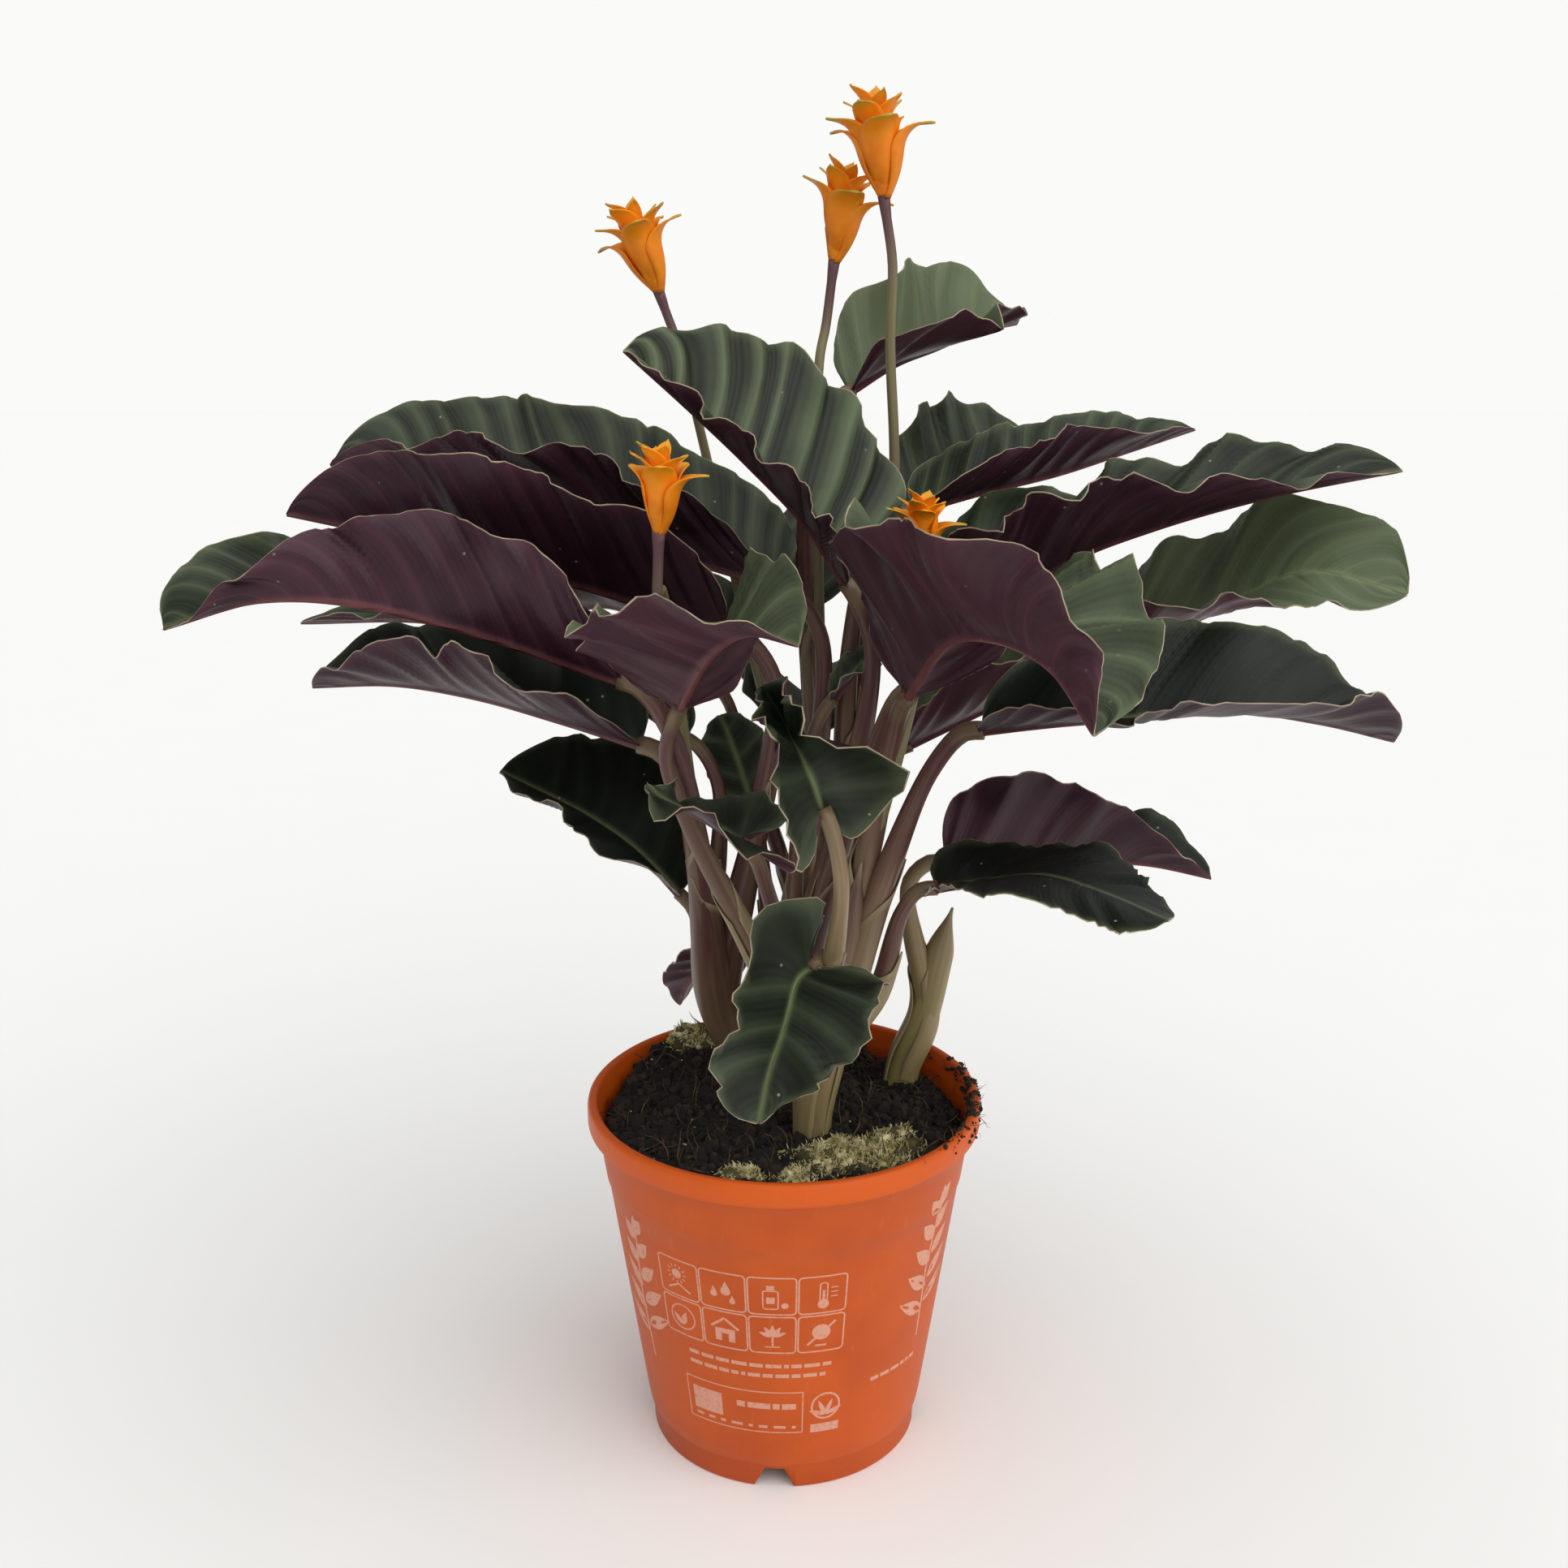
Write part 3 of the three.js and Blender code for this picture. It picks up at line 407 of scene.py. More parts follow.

# Every blade: its bunch and its midrib, from the petiole to the tip, and for its left and right halves, seen
# from the petiole with the green face up, their widths, lifts and curls in degrees, how fast they taper and
# how far they reach back as lobes. wave is amplitude, count and phase. look is how old the leaf is and how
# deep in painted shade it lies, from 0 (painted paler) to 1 (painted darker), how deep its pleats are, and
# how frilled its margin is. via is where its petiole passes.
plainLeaf = {
    "curl": (10, 10), "taper": (0.7, 0.7), "lobe": (0, 0), "up": (0, 0, 1), "small": False,
    "look": (0.55, 0.9, 0.5), "via": (),
}
leafShapes = {
    "left_long": {
        "shoot": "left", "half": (36, 27), "lift": ((34, 88, 5), (30, 22, 72)), "curl": (31, 7),
        "wave": (4.6, 4.4, 1.26), "taper": (1.4, 0.4), "lobe": (-4, 0), "look": (0.5, 0.8, 0.4),
        "rib": ((-53, -20, 283), (-95, -18, 297), (-137, -15, 307), (-169, -14, 308), (-201, -14, 299))},
    "left_middle": {
        "shoot": "left", "half": (46, 32), "lift": ((39, 45, 84), (35, 30, 20)), "curl": (12, 10),
        "wave": (3.7, 2.9, 1.27), "taper": (0.67, 0.7), "lobe": (4, 0), "look": (0.65, 0.8, 0.5),
        "rib": ((-21, 14, 294), (-57, 15, 305), (-93, 16, 315), (-129, 17, 324), (-167, 17, 332))},
    "left_back": {
        "shoot": "centre", "half": (37, 51), "lift": ((41, 43, 53), (32, 43, 48)), "curl": (14, 6),
        "wave": (3.3, 4, 0.3), "taper": (0.69, 0.41), "lobe": (-2, 24), "look": (0.6, 1.2, 0.4),
        "rib": ((-5, 42, 305), (-45, 53, 315), (-86, 62, 326), (-127, 71, 332), (-167, 79, 343))},
    "left_low": {
        "shoot": "left", "half": (46, 39), "lift": ((16, 24, 22), (40, 22, 48)), "curl": (19, 4),
        "wave": (3.6, 3.4, 0.45), "taper": (0.69, 0.71), "lobe": (-3, 0), "look": (0.95, 0.8, 0.4),
        "rib": ((-48, -6, 258), (-77, -1, 266), (-105, 6, 272), (-132, 7, 276), (-160, 8, 275))},
    "left_behind": {
        "shoot": "left", "half": (24, 25), "lift": ((20, 20, 15), (30, 30, 20)), "wave": (2.4, 4, 0.2),
        "small": True, "rib": ((-36, 44, 248), (-82, 66, 273), (-130, 74, 285), (-181, 74, 285))},
    "left_droop": {
        "shoot": "left", "half": (42, 36), "lift": ((20, 8, 4), (30, 39, 40)), "curl": (11, 4),
        "wave": (2.2, 3.5, 0.29), "taper": (0.83, 0.6), "lobe": (4, 0), "small": True,
        "look": (0.95, 0.8, 0.6),
        "rib": ((-39, 44, 188), (-55, 48, 204), (-72, 53, 215), (-89, 54, 224), (-106, 56, 232))},
    "low_behind": {
        "shoot": "left", "half": (12, 12), "lift": (20, 30), "wave": (1, 3, 0), "small": True,
        "rib": ((-19, 62, 163), (-29, 72, 151), (-38, 84, 137), (-43, 96, 122))},
    "centre_high": {
        "shoot": "centre", "half": (33, 46), "lift": ((-3, 4, 5), (67, 58, 36)), "curl": (9, 7),
        "wave": (2, 4.9, 0.03), "taper": (0.77, 0.47), "lobe": (-12, 15), "look": (0.35, 1.7, 0.3),
        "rib": ((21, 14, 309), (7, 11, 330), (-12, 7, 350), (-31, 4, 368), (-51, 1, 386))},
    "back_high": {
        "shoot": "back", "half": (31, 44), "lift": ((57, 77, 52), (29, 11, 16)), "curl": (3, 9),
        "wave": (3.4, 3.2, 0.28), "taper": (0.43, 0.72), "lobe": (2, 1), "look": (0.0, 1.0, 0.3),
        "rib": ((24, 70, 370), (40, 78, 379), (55, 88, 384), (71, 96, 390), (87, 104, 393))},
    "back_upright": {
        "shoot": "back", "half": (34, 29), "lift": ((51, 65, 44), (25, 25, 15)), "wave": (2.6, 4.1, 0.3),
        "taper": (0.49, 0.7), "lobe": (-2, 0),
        "rib": ((49, 86, 321), (66, 98, 330), (82, 110, 339), (99, 122, 348))},
    "right_high": {
        "shoot": "back", "half": (31, 19), "lift": ((30, 28, 15), (24, 47, 17)), "curl": (5, 20),
        "wave": (2.4, 2.6, -0.22), "taper": (0.4, 0.79), "lobe": (0, -3),
        "rib": ((46, 41, 331), (73, 51, 337), (99, 60, 342), (125, 69, 349), (150, 77, 356))},
    "right_long": {
        "shoot": "centre", "half": (46, 46), "lift": ((74, 14, 21), (51, 32, 9)), "curl": (16, 12),
        "wave": (3.7, 5.4, -1.15), "taper": (0.6, 1.27), "lobe": (9, -22), "look": (0.7, 1.0, 0.6),
        "rib": ((43, 4, 276), (67, 6, 296), (92, 9, 316), (123, 7, 329), (162, 6, 340), (202, 5, 348))},
    "right_flat": {
        "shoot": "back", "half": (40, 39), "lift": ((40, 29, 44), (20, 5, -60)), "curl": (14, 40),
        "wave": (2.8, 5.5, 0.9), "taper": (0.49, 0.74), "lobe": (0, -1), "look": (0.0, 0.8, 0.6),
        "rib": ((45, 37, 247), (78, 34, 264), (112, 29, 280),
                (144, 20, 297), (174, 8, 314), (204, -5, 309))},
    "right_low": {
        "shoot": "front", "half": (34, 45), "lift": ((54, 43, 20), (15, 5, 26)), "curl": (10, 14),
        "wave": (2.5, 2.8, 0.77), "taper": (0.4, 0.44), "look": (1.0, 1.0, 0.5), "via": ((36, -14, 220),),
        "rib": ((65, -14, 265), (91, -23, 270), (117, -32, 274),
                (142, -41, 278), (167, -44, 275), (189, -47, 270))},
    "right_purple": {
        "shoot": "right", "half": (31, 41), "lift": ((20, 20, 30), (53, 55, 44)), "curl": (8, 17),
        "wave": (3.4, 3.6, 0), "taper": (0.54, 1.25), "lobe": (0, 8), "look": (0.95, 0.6, 0.5),
        "rib": ((58, 24, 207), (82, 24, 208), (106, 23, 208), (130, 22, 207), (153, 21, 202))},
    "right_dark": {
        "shoot": "front", "half": (34, 31), "lift": ((24, 1, -15), (15, 10, 5)), "curl": (2, -9),
        "wave": (1.4, 2.5, 0.59), "taper": (0.41, 0.4), "lobe": (24, 2), "small": True,
        "look": (1.0, 0.8, 1.3), "via": ((32, -8, 170),),
        "rib": ((50, -22, 213), (66, -32, 219), (82, -47, 226), (99, -61, 225), (117, -72, 220))},
    "right_front": {
        "shoot": "front", "half": (44, 51), "lift": ((5, 22, 12), (78, 41, 86)), "curl": (11, 7),
        "wave": (4.6, 4.8, 0.13), "taper": (0.64, 0.65), "lobe": (-2, 18), "look": (0.2, 0.9, 1.3),
        "rib": ((40, -22, 278), (50, -45, 300), (62, -70, 306), (74, -97, 303), (82, -124, 291))},
    "left_front": {
        "shoot": "front", "half": (31, 41), "lift": ((4, 45, 53), (38, 16, 16)), "curl": (11, 10),
        "wave": (4.1, 4.6, 0.21), "taper": (0.55, 0.45), "lobe": (0, 12), "small": True,
        "look": (0.2, 0.9, 1.2),
        "rib": ((-33, -33, 277), (-27, -45, 290), (-20, -58, 301), (-10, -71, 308), (4, -83, 307))},
    "centre_front": {
        "shoot": "front", "half": (23, 25), "lift": ((22, 52, 50), (-60, 95, 76)), "curl": (8, 6),
        "wave": (2.1, 3.6, -0.05), "taper": (0.84, 0.78), "lobe": (31, 34), "up": (0.3, -1, 0.4),
        "small": True, "look": (0.75, 1.2, 2.8),
        "rib": ((12, -70, 254), (7, -68, 266), (2, -64, 276), (-2, -60, 283), (-7, -56, 289))},
    "centre_small": {
        "shoot": "front", "half": (18, 24), "lift": ((59, 54, 29), (16, -60, 7)), "curl": (14, 2),
        "wave": (3.8, 2.8, 0.17), "taper": (0.96, 1.5), "lobe": (29, 32), "up": (0, -1, 1), "small": True,
        "look": (0.75, 1.1, 2.0),
        "rib": ((-13, -50, 237), (-19, -56, 244), (-29, -59, 251), (-37, -60, 255), (-42, -58, 259))},
    "low_front": {
        "shoot": "front", "half": (31, 25), "lift": ((48, 21, 14), (18, 48, 28)), "curl": (17, 11),
        "wave": (1.7, 3.9, 0.15), "taper": (1.08, 0.46), "lobe": (15, 30), "up": (0, -1, 0.4),
        "small": True, "look": (0.74, 1.35, 3.2),
        "rib": ((9, -53, 197), (4, -58, 194), (0, -63, 181), (-5, -69, 167), (-8, -74, 153))},
    "between_left": {
        "shoot": "centre", "half": (12, 12), "lift": (20, 20), "wave": (1.6, 3, 0.3), "up": (0, -1, 0.6),
        "small": True, "rib": ((-12, 48, 222), (-17, 54, 236), (-21, 59, 246), (-24, 63, 252))},
    "between_right": {
        "shoot": "centre", "half": (7, 8), "lift": ((30, 40, 30), (20, 10, 0)), "wave": (1.6, 3, 0.3),
        "small": True, "rib": ((17, 27, 266), (23, 27, 274), (29, 28, 280), (36, 30, 286))},
    "behind_green": {
        "shoot": "back", "half": (30, 30), "lift": (30, 30), "wave": (2.4, 4, 0.1), "small": True,
        "rib": ((8, 66, 290), (2, 82, 304), (-4, 98, 313), (-12, 114, 313))},
    "behind_left": {
        "shoot": "back", "half": (34, 34), "lift": (30, 30), "wave": (2.6, 4, 0.1), "small": True,
        "rib": ((-26, 76, 260), (-47, 92, 279), (-71, 105, 286), (-96, 114, 277))},
    "behind_middle": {
        "shoot": "back", "half": (34, 28), "lift": (30, 30), "wave": (2.6, 4, 0.6), "small": True,
        "rib": ((10, 80, 238), (11, 96, 250), (8, 110, 248), (2, 120, 234))},
    "behind_right": {
        "shoot": "back", "half": (34, 34), "lift": (30, 30), "wave": (2.6, 4, 0.4), "small": True,
        "rib": ((54, 74, 250), (83, 90, 268), (112, 106, 273), (141, 117, 260))},
}
leafShapes = {name: {**plainLeaf, **leaf} for name, leaf in leafShapes.items()}


# A number, or three of them read at the base, the middle and the tip.
def alongShare(value, u):
    if not isinstance(value, tuple):
        return np.full_like(u, float(value))
    a, b, c = value
    return np.where(u < 0.5, mix(a, b, smooth(u, 0, 0.5)), mix(b, c, smooth(u, 0.5, 1)))


def widthShare(u, taper):
    widest = blade["round"] / (blade["round"] + taper)
    return (u / widest) ** blade["round"] * ((1 - u) / (1 - widest)) ** taper


# The middle surface of a blade at shares u along it and v across it, from -1 to 1.
def bladeGrid(leaf, u, v):
    left = (v < 0)[None, :]
    sign, share, u2 = np.where(left, -1.0, 1.0), np.abs(v)[None, :], u[:, None]
    forward = lineDirection(leaf["rib"], u)
    right = unit(np.cross(forward, unit(np.array(leaf["up"], float))))
    normal = np.cross(right, forward)
    shape = np.where(left, *(widthShare(u2, taper) for taper in leaf["taper"]))
    width = np.where(left, *leaf["half"]) * shape + mix(blade["baseHalf"], blade["tipHalf"], u2)
    lift = np.radians(np.where(left, *(alongShare(value, u2) for value in leaf["lift"])))
    curl = np.radians(np.where(left, *leaf["curl"]).astype(float))
    end = lift + curl * share
    across = (np.sin(end) - np.sin(lift)) / curl
    raised = (np.cos(lift) - np.cos(end)) / curl
    amplitude, waves, phase = leaf["wave"]
    scallop = 1 + blade["scallop"] * share ** 2 * np.sin(math.tau * (waves * u2 + phase) + 1.5)
    beat = math.tau * (waves * (u2 - blade["veinSlant"] * share) + phase + 0.37 * (~left))
    swell = np.sin(np.pi * u2) ** 0.6
    ripple = amplitude * share ** 1.7 * swell * (np.sin(beat) + 0.35 * np.sin(1.9 * beat + 2))
    ripple = ripple + amplitude * blade["ruffle"] * share ** 5 * swell * np.sin(2.7 * beat + 1.1)
    back = np.where(left, *leaf["lobe"]) * share ** 2 * shape * (1 - u2) ** 3
    surface = (
        linePoint(leaf["rib"], u)[:, None]
        + right[:, None] * (sign * (width * scallop * across - ripple * np.sin(end)))[..., None]
        + normal[:, None] * (width * scallop * raised + ripple * np.cos(end))[..., None]
        - forward[:, None] * back[..., None]
    )
    return surface, width


def makeLeaf(name, leaf, seed):
    length = np.linalg.norm(np.diff(linePoint(leaf["rib"], np.linspace(0, 1, 60)), axis=0), axis=1).sum()
    even = np.linspace(0, 1, max(blade["fewestRows"], round(length / blade["rowEvery"])) + 1)
    u = mix(even, 0.5 - 0.5 * np.cos(np.pi * even), 0.5)  # rows stand closer at both ends
    half = np.array(acrossShares + (1 - blade["margin"] / max(leaf["half"]), 1))
    v = np.concatenate([-half[:0:-1], half])
    surface, width = bladeGrid(leaf, u, v)
    rowSteps, columnSteps = np.gradient(surface, axis=0), np.gradient(surface, axis=1)
    normal = unit(np.cross(columnSteps, rowSteps))
    share, u2 = np.abs(v)[None, :], u[:, None]
    age, pleat, frill = leaf["look"]
    # phase counts the lateral veins, and drifts so that no two pleats are alike
    phase = length / blade["foldEvery"] * (u2 - blade["veinSlant"] * share ** 1.3) + 0.5 * (v[None, :] < 0)
    phase = phase + 0.16 * np.sin(1.9 * phase + 2.3 * seed) + 0.1 * np.sin(4.1 * phase + seed)
    strength = 0.8 + 0.35 * np.sin(1.3 * phase + 1.7 * seed)
    ends = np.clip(width / blade["narrow"], 0.2, 1) * np.sin(np.pi * u2) ** 0.35 * strength
    wave = np.sin(math.tau * phase) + 0.22 * np.sin(2 * math.tau * phase + 0.6)
    height = blade["fold"] * pleat * smooth(share, 0.03, 0.5) * mix(1.1, 0.8, share) * wave * ends
    height = height + 0.5 * frill * share ** 6 * np.sin(3 * math.tau * phase + seed) * ends
    outward = unit(columnSteps) * np.sign(v)[None, :, None]
    frilled = frill * share ** 4 * (wave + np.sin(1.7 * math.tau * phase + seed)) * ends / 2
    surface = surface + outward * frilled[..., None]
    fade = mix(1.0, 0.25, u2)
    ribNear = np.exp(-(share * width / blade["ribWidth"]) ** 2)
    edgeNear = np.exp(-((1 - share) * width / blade["edgeGlow"]) ** 2)
    thick = mix(blade["thickness"], blade["edgeThickness"], share ** 4) / 2
    upper = surface + normal * (height + thick - blade["groove"] * ribNear * fade)[..., None]
    lower = surface + normal * (height - thick - blade["ribHeight"] * ribNear * fade)[..., None]
    rows, columns = len(u), len(v)
    outer = np.tile(np.isin(np.arange(columns - 1), (0, columns - 2)), rows - 1)
    slots = [*np.where(outer, 2, 0), *np.where(outer, 2, 1), *[2] * (2 * (rows + columns - 2))]
    builder = Builder()
    builder.addSheet(upper, lower, slots, veinPhase=phase, ribNear=ribNear * (0.4 + 0.6 * fade),
                     edgeNear=edgeNear, age=age, pleat=pleat)
    piece = builder.piece("blade_" + name, [leafTop, leafUnder, leafEdge])
    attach(piece, "root")
    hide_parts("leaf_" + name)


for seed, (name, leaf) in enumerate(leafShapes.items()):
    makeLeaf(name, leaf, seed)
print("leaves: done,", len(leafShapes))

soil = {"level": 119, "mound": 10, "moundAt": (-38, 46), "moundSpread": 30}
# Where the bunches stand and which way they lean, how mauve they are, from 0 (olive) to 1, and how stout.
shootShapes = {
    "left": {"at": (-17, 44), "lean": (-0.22, -0.1), "mauve": 1.0, "stout": 1.15},
    "centre": {"at": (-2, 18), "lean": (0, 0), "mauve": 0.6, "stout": 1.05},
    "right": {"at": (42, 28), "lean": (0.2, -0.05), "mauve": -0.25, "stout": 1.05},
    "front": {"at": (9, -12), "lean": (0.05, -0.05), "mauve": 0.3, "stout": 1.15},
    "back": {"at": (14, 48), "lean": (0.05, 0.15), "mauve": 0.6, "stout": 1.0},
}
# Every head: its foot, which way it points, and where its stalk passes.
headShapes = {
    "top": {
        "shoot": "back", "height": 37, "at": (33, 34, 434), "to": (-5, 0, 33),
        "via": ((38, 39, 330), (36, 37, 388))},
    "high": {
        "shoot": "back", "height": 35, "at": (17, 48, 414), "to": (4, 0, 32), "via": ((12, 44, 380),)},
    "left": {
        "shoot": "back", "height": 36, "at": (-45, 80, 404), "to": (-12, 0, 34), "via": ((-29, 88, 345),)},
    "front": {
        "shoot": "left", "height": 30, "at": (-38, -42, 333), "to": (1, 0, 30), "via": ((-38, -38, 316),)},
    "hidden": {
        "shoot": "front", "height": 28, "at": (42, -19, 318), "to": (3, 0, 30), "via": ((44, -14, 292),)},
}
# Sheaths that end in a point of their own.
spearShapes = (
    {"shoot": "right", "tip": (62.7, 25, 195), "size": 1.2},
    {"shoot": "front", "tip": (27, -16, 226), "size": 1.15},
)
# How the stalks of a bunch run together: in the soil, just above it, and where they part.
collar = {"depth": 16, "clear": 8, "bunched": 30, "pinch": 0.35, "straight": 6, "into": 0.8}
petiole = {
    "sides": 14, "rowEvery": 3.2, "fewestRows": 16, "stand": 3.8, "reach": 22, "rise": 0.52,
    "foot": 4.0, "stalk": 3.8, "neck": 2.7, "small": 0.8,
    "cushion": 2.8, "cushionLength": 12,  # the swelling just under the blade
}
sheath = {
    "foot": 5.0, "belly": 6.4, "mouth": 4.3, "wall": 0.4, "columns": 24, "rows": 26,
    "end": 0.66,  # share of the petiole that is wrapped
    "open": 0.13, "dip": 0.112, "point": 0.06, "turn": 2.2,
}
scape = {"base": 2.4, "top": 1.6, "sides": 12, "stand": 1, "reach": 15, "rise": 0, "ribs": 5}
spear = {"stand": petiole["stand"], "reach": 14, "rise": 0, "rim": 0.35}
stripes = {"drawnIn": 0.045, "apart": 60}
toneDraw = random.Random(7)


def shootAxis(shoot, z):
    (x, y), (across, back), rise = shoot["at"], shoot["lean"], z - soil["level"]
    return np.array((x + across * rise, y + back * rise, z), float)


# The way from the soil to a blade or a head, beside the other stalks of its bunch.
def stemLine(shoot, end, direction, via, shape):
    low, clear, high = (
        shootAxis(shoot, soil["level"] + up) for up in (-collar["depth"], collar["clear"], collar["bunched"]))
    aside = unit(np.array((end[0] - high[0], end[1] - high[1], 0))) * shape["stand"]
    before = end - direction * collar["straight"]
    under = before - unit(mix(direction, np.array((0, 0, 1.0)), shape["rise"])) * shape["reach"]
    near, tip = aside * collar["pinch"], end + direction * collar["into"]
    return [low + near, clear + near, high + aside, *via, under, before, tip], aside


# Where a point is on the skin of a stalk, in metres. Its length is drawn in so that noise turns to streaks,
# and tone takes each stalk to noise of its own.
def stripeMark(rise, angle, length, radius, tone):
    far = rise * length * stripes["drawnIn"] + stripes["apart"] * tone
    return np.stack([radius * np.cos(angle), radius * np.sin(angle), far], -1) * mm


# A closed stalk: radius is one value a row, times the section's own shape.
def addStalk(builder, points, length, first, radius, sides, slot, tone, cushion, ribs=0):
    angle = turns(sides)
    section = 1 + 0.04 * np.cos(ribs * angle) if ribs else np.ones(sides)
    sideways, others = lineFrames(points, first)
    rings = ringPoints(points, sideways, others, radius[:, None] * section, angle)
    rows = len(points)
    rise = np.repeat(np.linspace(0, 1, rows), sides)
    builder.add(rings, tubeFaces(rows, sides), slot, rise=rise, tone=np.full(len(rise), tone),
                lengthwise=stripeMark(rise, np.tile(angle, rows), length, radius.mean(), tone),
                cushion=np.repeat(cushion, sides))


# The sheath that wraps the lower part of a petiole, open along one side and drawn to a point at the back.
def addSheath(builder, points, length, first, end, size, slot, tone):
    rows, columns = sheath["rows"], sheath["columns"]
    angle = np.linspace(-1, 1, columns) * math.pi * (1 - sheath["open"])
    run = np.linspace(0, 1, rows)
    mouth = end - sheath["dip"] * (1 - np.cos(angle / 2)) + sheath["point"] * np.exp(-(angle / 0.4) ** 2)
    spine = np.linspace(0, 1, len(points))
    where = run[:, None] * mouth[None, :]
    middle, side, other = (
        np.stack([np.interp(where, spine, values[:, k]) for k in range(3)], -1)
        for values in (points, *lineFrames(points, first)))
    flare = 1 + 0.05 * smooth(run, 0.9, 1)[:, None] * np.cos(angle / 2)
    swollen = mix(sheath["foot"], sheath["belly"], smooth(run, 0.05, 0.5))
    radius = size * mix(swollen, sheath["mouth"], smooth(run, 0.5, 1))[:, None] * flare
    radius = radius * (1 + 0.012 * np.sin(5 * angle + 9 * tone))
    spiral = radius + 0.35 * (angle / math.pi)[None, :]
    skins = [
        middle + side * (r * np.cos(angle))[..., None] + other * (r * np.sin(angle))[..., None]
        for r in (spiral, spiral - sheath["wall"])]
    rise, around = where / max(end, 0.01) * 0.8, np.broadcast_to(angle, where.shape)
    edge = np.maximum(smooth(np.abs(angle) / np.abs(angle).max(), 0.92, 1)[None, :] * 0.5,
                      smooth(run, 0.97, 1)[:, None] * 0.6)
    builder.addSheet(*skins, slot, rise=rise, tone=tone, cushion=edge,
                     lengthwise=stripeMark(rise, around, length * end, sheath["foot"], tone))


def addPetiole(builder, shoot, leaf):
    base, direction = linePoint(leaf["rib"], 0.0), lineDirection(leaf["rib"], 0.0)
    via = [np.array(p, float) for p in leaf["via"]]
    reach = min(petiole["reach"], 0.12 * (base[2] - soil["level"]))
    knots, aside = stemLine(shoot, base, direction, via, {**petiole, "reach": reach})
    rough = evenLine(knots, 40)[1]
    points, length = evenLine(knots, max(petiole["fewestRows"], round(rough / petiole["rowEvery"])))
    t = np.linspace(0, 1, len(points))
    end = sheath["end"] + 0.1 * (toneDraw.random() - 0.6)
    tone = shoot["mauve"] + toneDraw.uniform(-0.4, 0.4)
    small = (petiole["small"] if leaf["small"] else 1.0) * shoot["stout"]
    radius = np.where(t < end, mix(petiole["foot"], petiole["stalk"], t / end),
                      mix(petiole["stalk"], petiole["neck"], smooth(t, end, end + 0.22)))
    fromTop, swollen = (1 - t) * length, petiole["cushionLength"]
    swelling = smooth(fromTop, swollen, swollen - 4) * smooth(fromTop, -3, 2)
    radius = mix(radius, petiole["cushion"], swelling) * small
    addStalk(builder, points, length, aside + 1e-3, radius, petiole["sides"], 0, tone, swelling * 0.45)
    turn = toneDraw.uniform(-sheath["turn"], sheath["turn"])
    spun = np.array((aside[0] * math.cos(turn) - aside[1] * math.sin(turn),
                     aside[0] * math.sin(turn) + aside[1] * math.cos(turn), 0.02))
    addSheath(builder, points, length, spun, end, small * toneDraw.uniform(0.9, 1.1), 1,
              shoot["mauve"] + toneDraw.uniform(-0.45, 0.45))


def addSpear(builder, shoot, tip, size):
    tip = np.array(tip, float)
    knots, aside = stemLine(shoot, tip, unit(tip - shootAxis(shoot, soil["level"])), (), spear)
    points, length = evenLine(knots[:-1], 40)
    t = np.linspace(0, 1, len(points))
    radius = sheath["belly"] * size * (0.82 - 0.2 * t) * (1 - smooth(t, 0.78, 1.02)) + spear["rim"]
    addStalk(builder, points, length, aside + 1e-3, radius, petiole["sides"], 1, shoot["mauve"],
             0.5 * smooth(t, 0.92, 1), ribs=1)


def addScape(builder, shoot, head):
    via = [np.array(p, float) for p in head["via"]]
    knots, aside = stemLine(shoot, np.array(head["at"], float), unit(np.array(head["to"], float)), via, scape)
    points, length = evenLine(knots, 90)
    t = np.linspace(0, 1, len(points))
    radius = mix(scape["base"], scape["top"], t) + 0.5 * smooth(t, 0.975, 1)
    cushion = smooth((1 - t) * length, 34, 4) * 0.85
    addStalk(builder, points, length, aside + 1e-3, radius, scape["sides"], 2, toneDraw.random(), cushion,
             scape["ribs"])


for name, shoot in shootShapes.items():
    builder = Builder()
    for leaf in leafShapes.values():
        if leaf["shoot"] == name:
            addPetiole(builder, shoot, leaf)
    for shape in spearShapes:
        if shape["shoot"] == name:
            addSpear(builder, shoot, shape["tip"], shape["size"])
    for head in headShapes.values():
        if head["shoot"] == name:
            addScape(builder, shoot, head)
    piece = builder.piece("stalks_" + name, [stalkMaterial, sheathMaterial, scapeMaterial])
    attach(piece, "root")
    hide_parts("shoot_" + name)
print("shoots: done,", len(shootShapes))

bractFinish = {"foot": "#D5680C", "body": "#FA870A", "bright": "#FFA714", "tip": "#B3A63C"}


# Bracts: soft and slightly waxy, mottled paler, painted paler and more golden towards their outer ends,
# partly their own colour and partly painted light against the shade of the head, greenish at their points.
def bractSkin():
    material, add = newMaterial("bract skin, waxy orange")
    rise, tone = [add("Attribute", attribute_name=mark, out="Fac") for mark in ("rise", "tone")]
    mottle = add("MapRange", grain(add, 5), 0.3, 0.7)
    greening = add("Math MULTIPLY", add("MapRange", rise, 0.74, 1.0), add("Math ADD", tone, 0.1))
    coats = (
        (add("MapRange", rise, 0.0, 0.5), bractFinish["body"]),
        (add("Math MULTIPLY", mottle, 0.6), bractFinish["bright"]),
        # painted light: the outer halves paler and more golden, partly their own colour, partly making up for
        # the head's own shade
        (add("MapRange", rise, 0.5, 0.85, 0.0, 0.6), bractFinish["bright"]),
        (add("Math MULTIPLY", tone, 0.35), bractFinish["foot"]),
        (greening, bractFinish["tip"]),
    )
    reliefs = ((grain(add, 0.8, 2), 0.08, 0.5),)
    return finishMaterial(material, add, bractFinish["foot"], coats, reliefs,
                          {"Roughness": 0.5, "Specular IOR Level": 0.3})


bractMaterial = bractSkin()
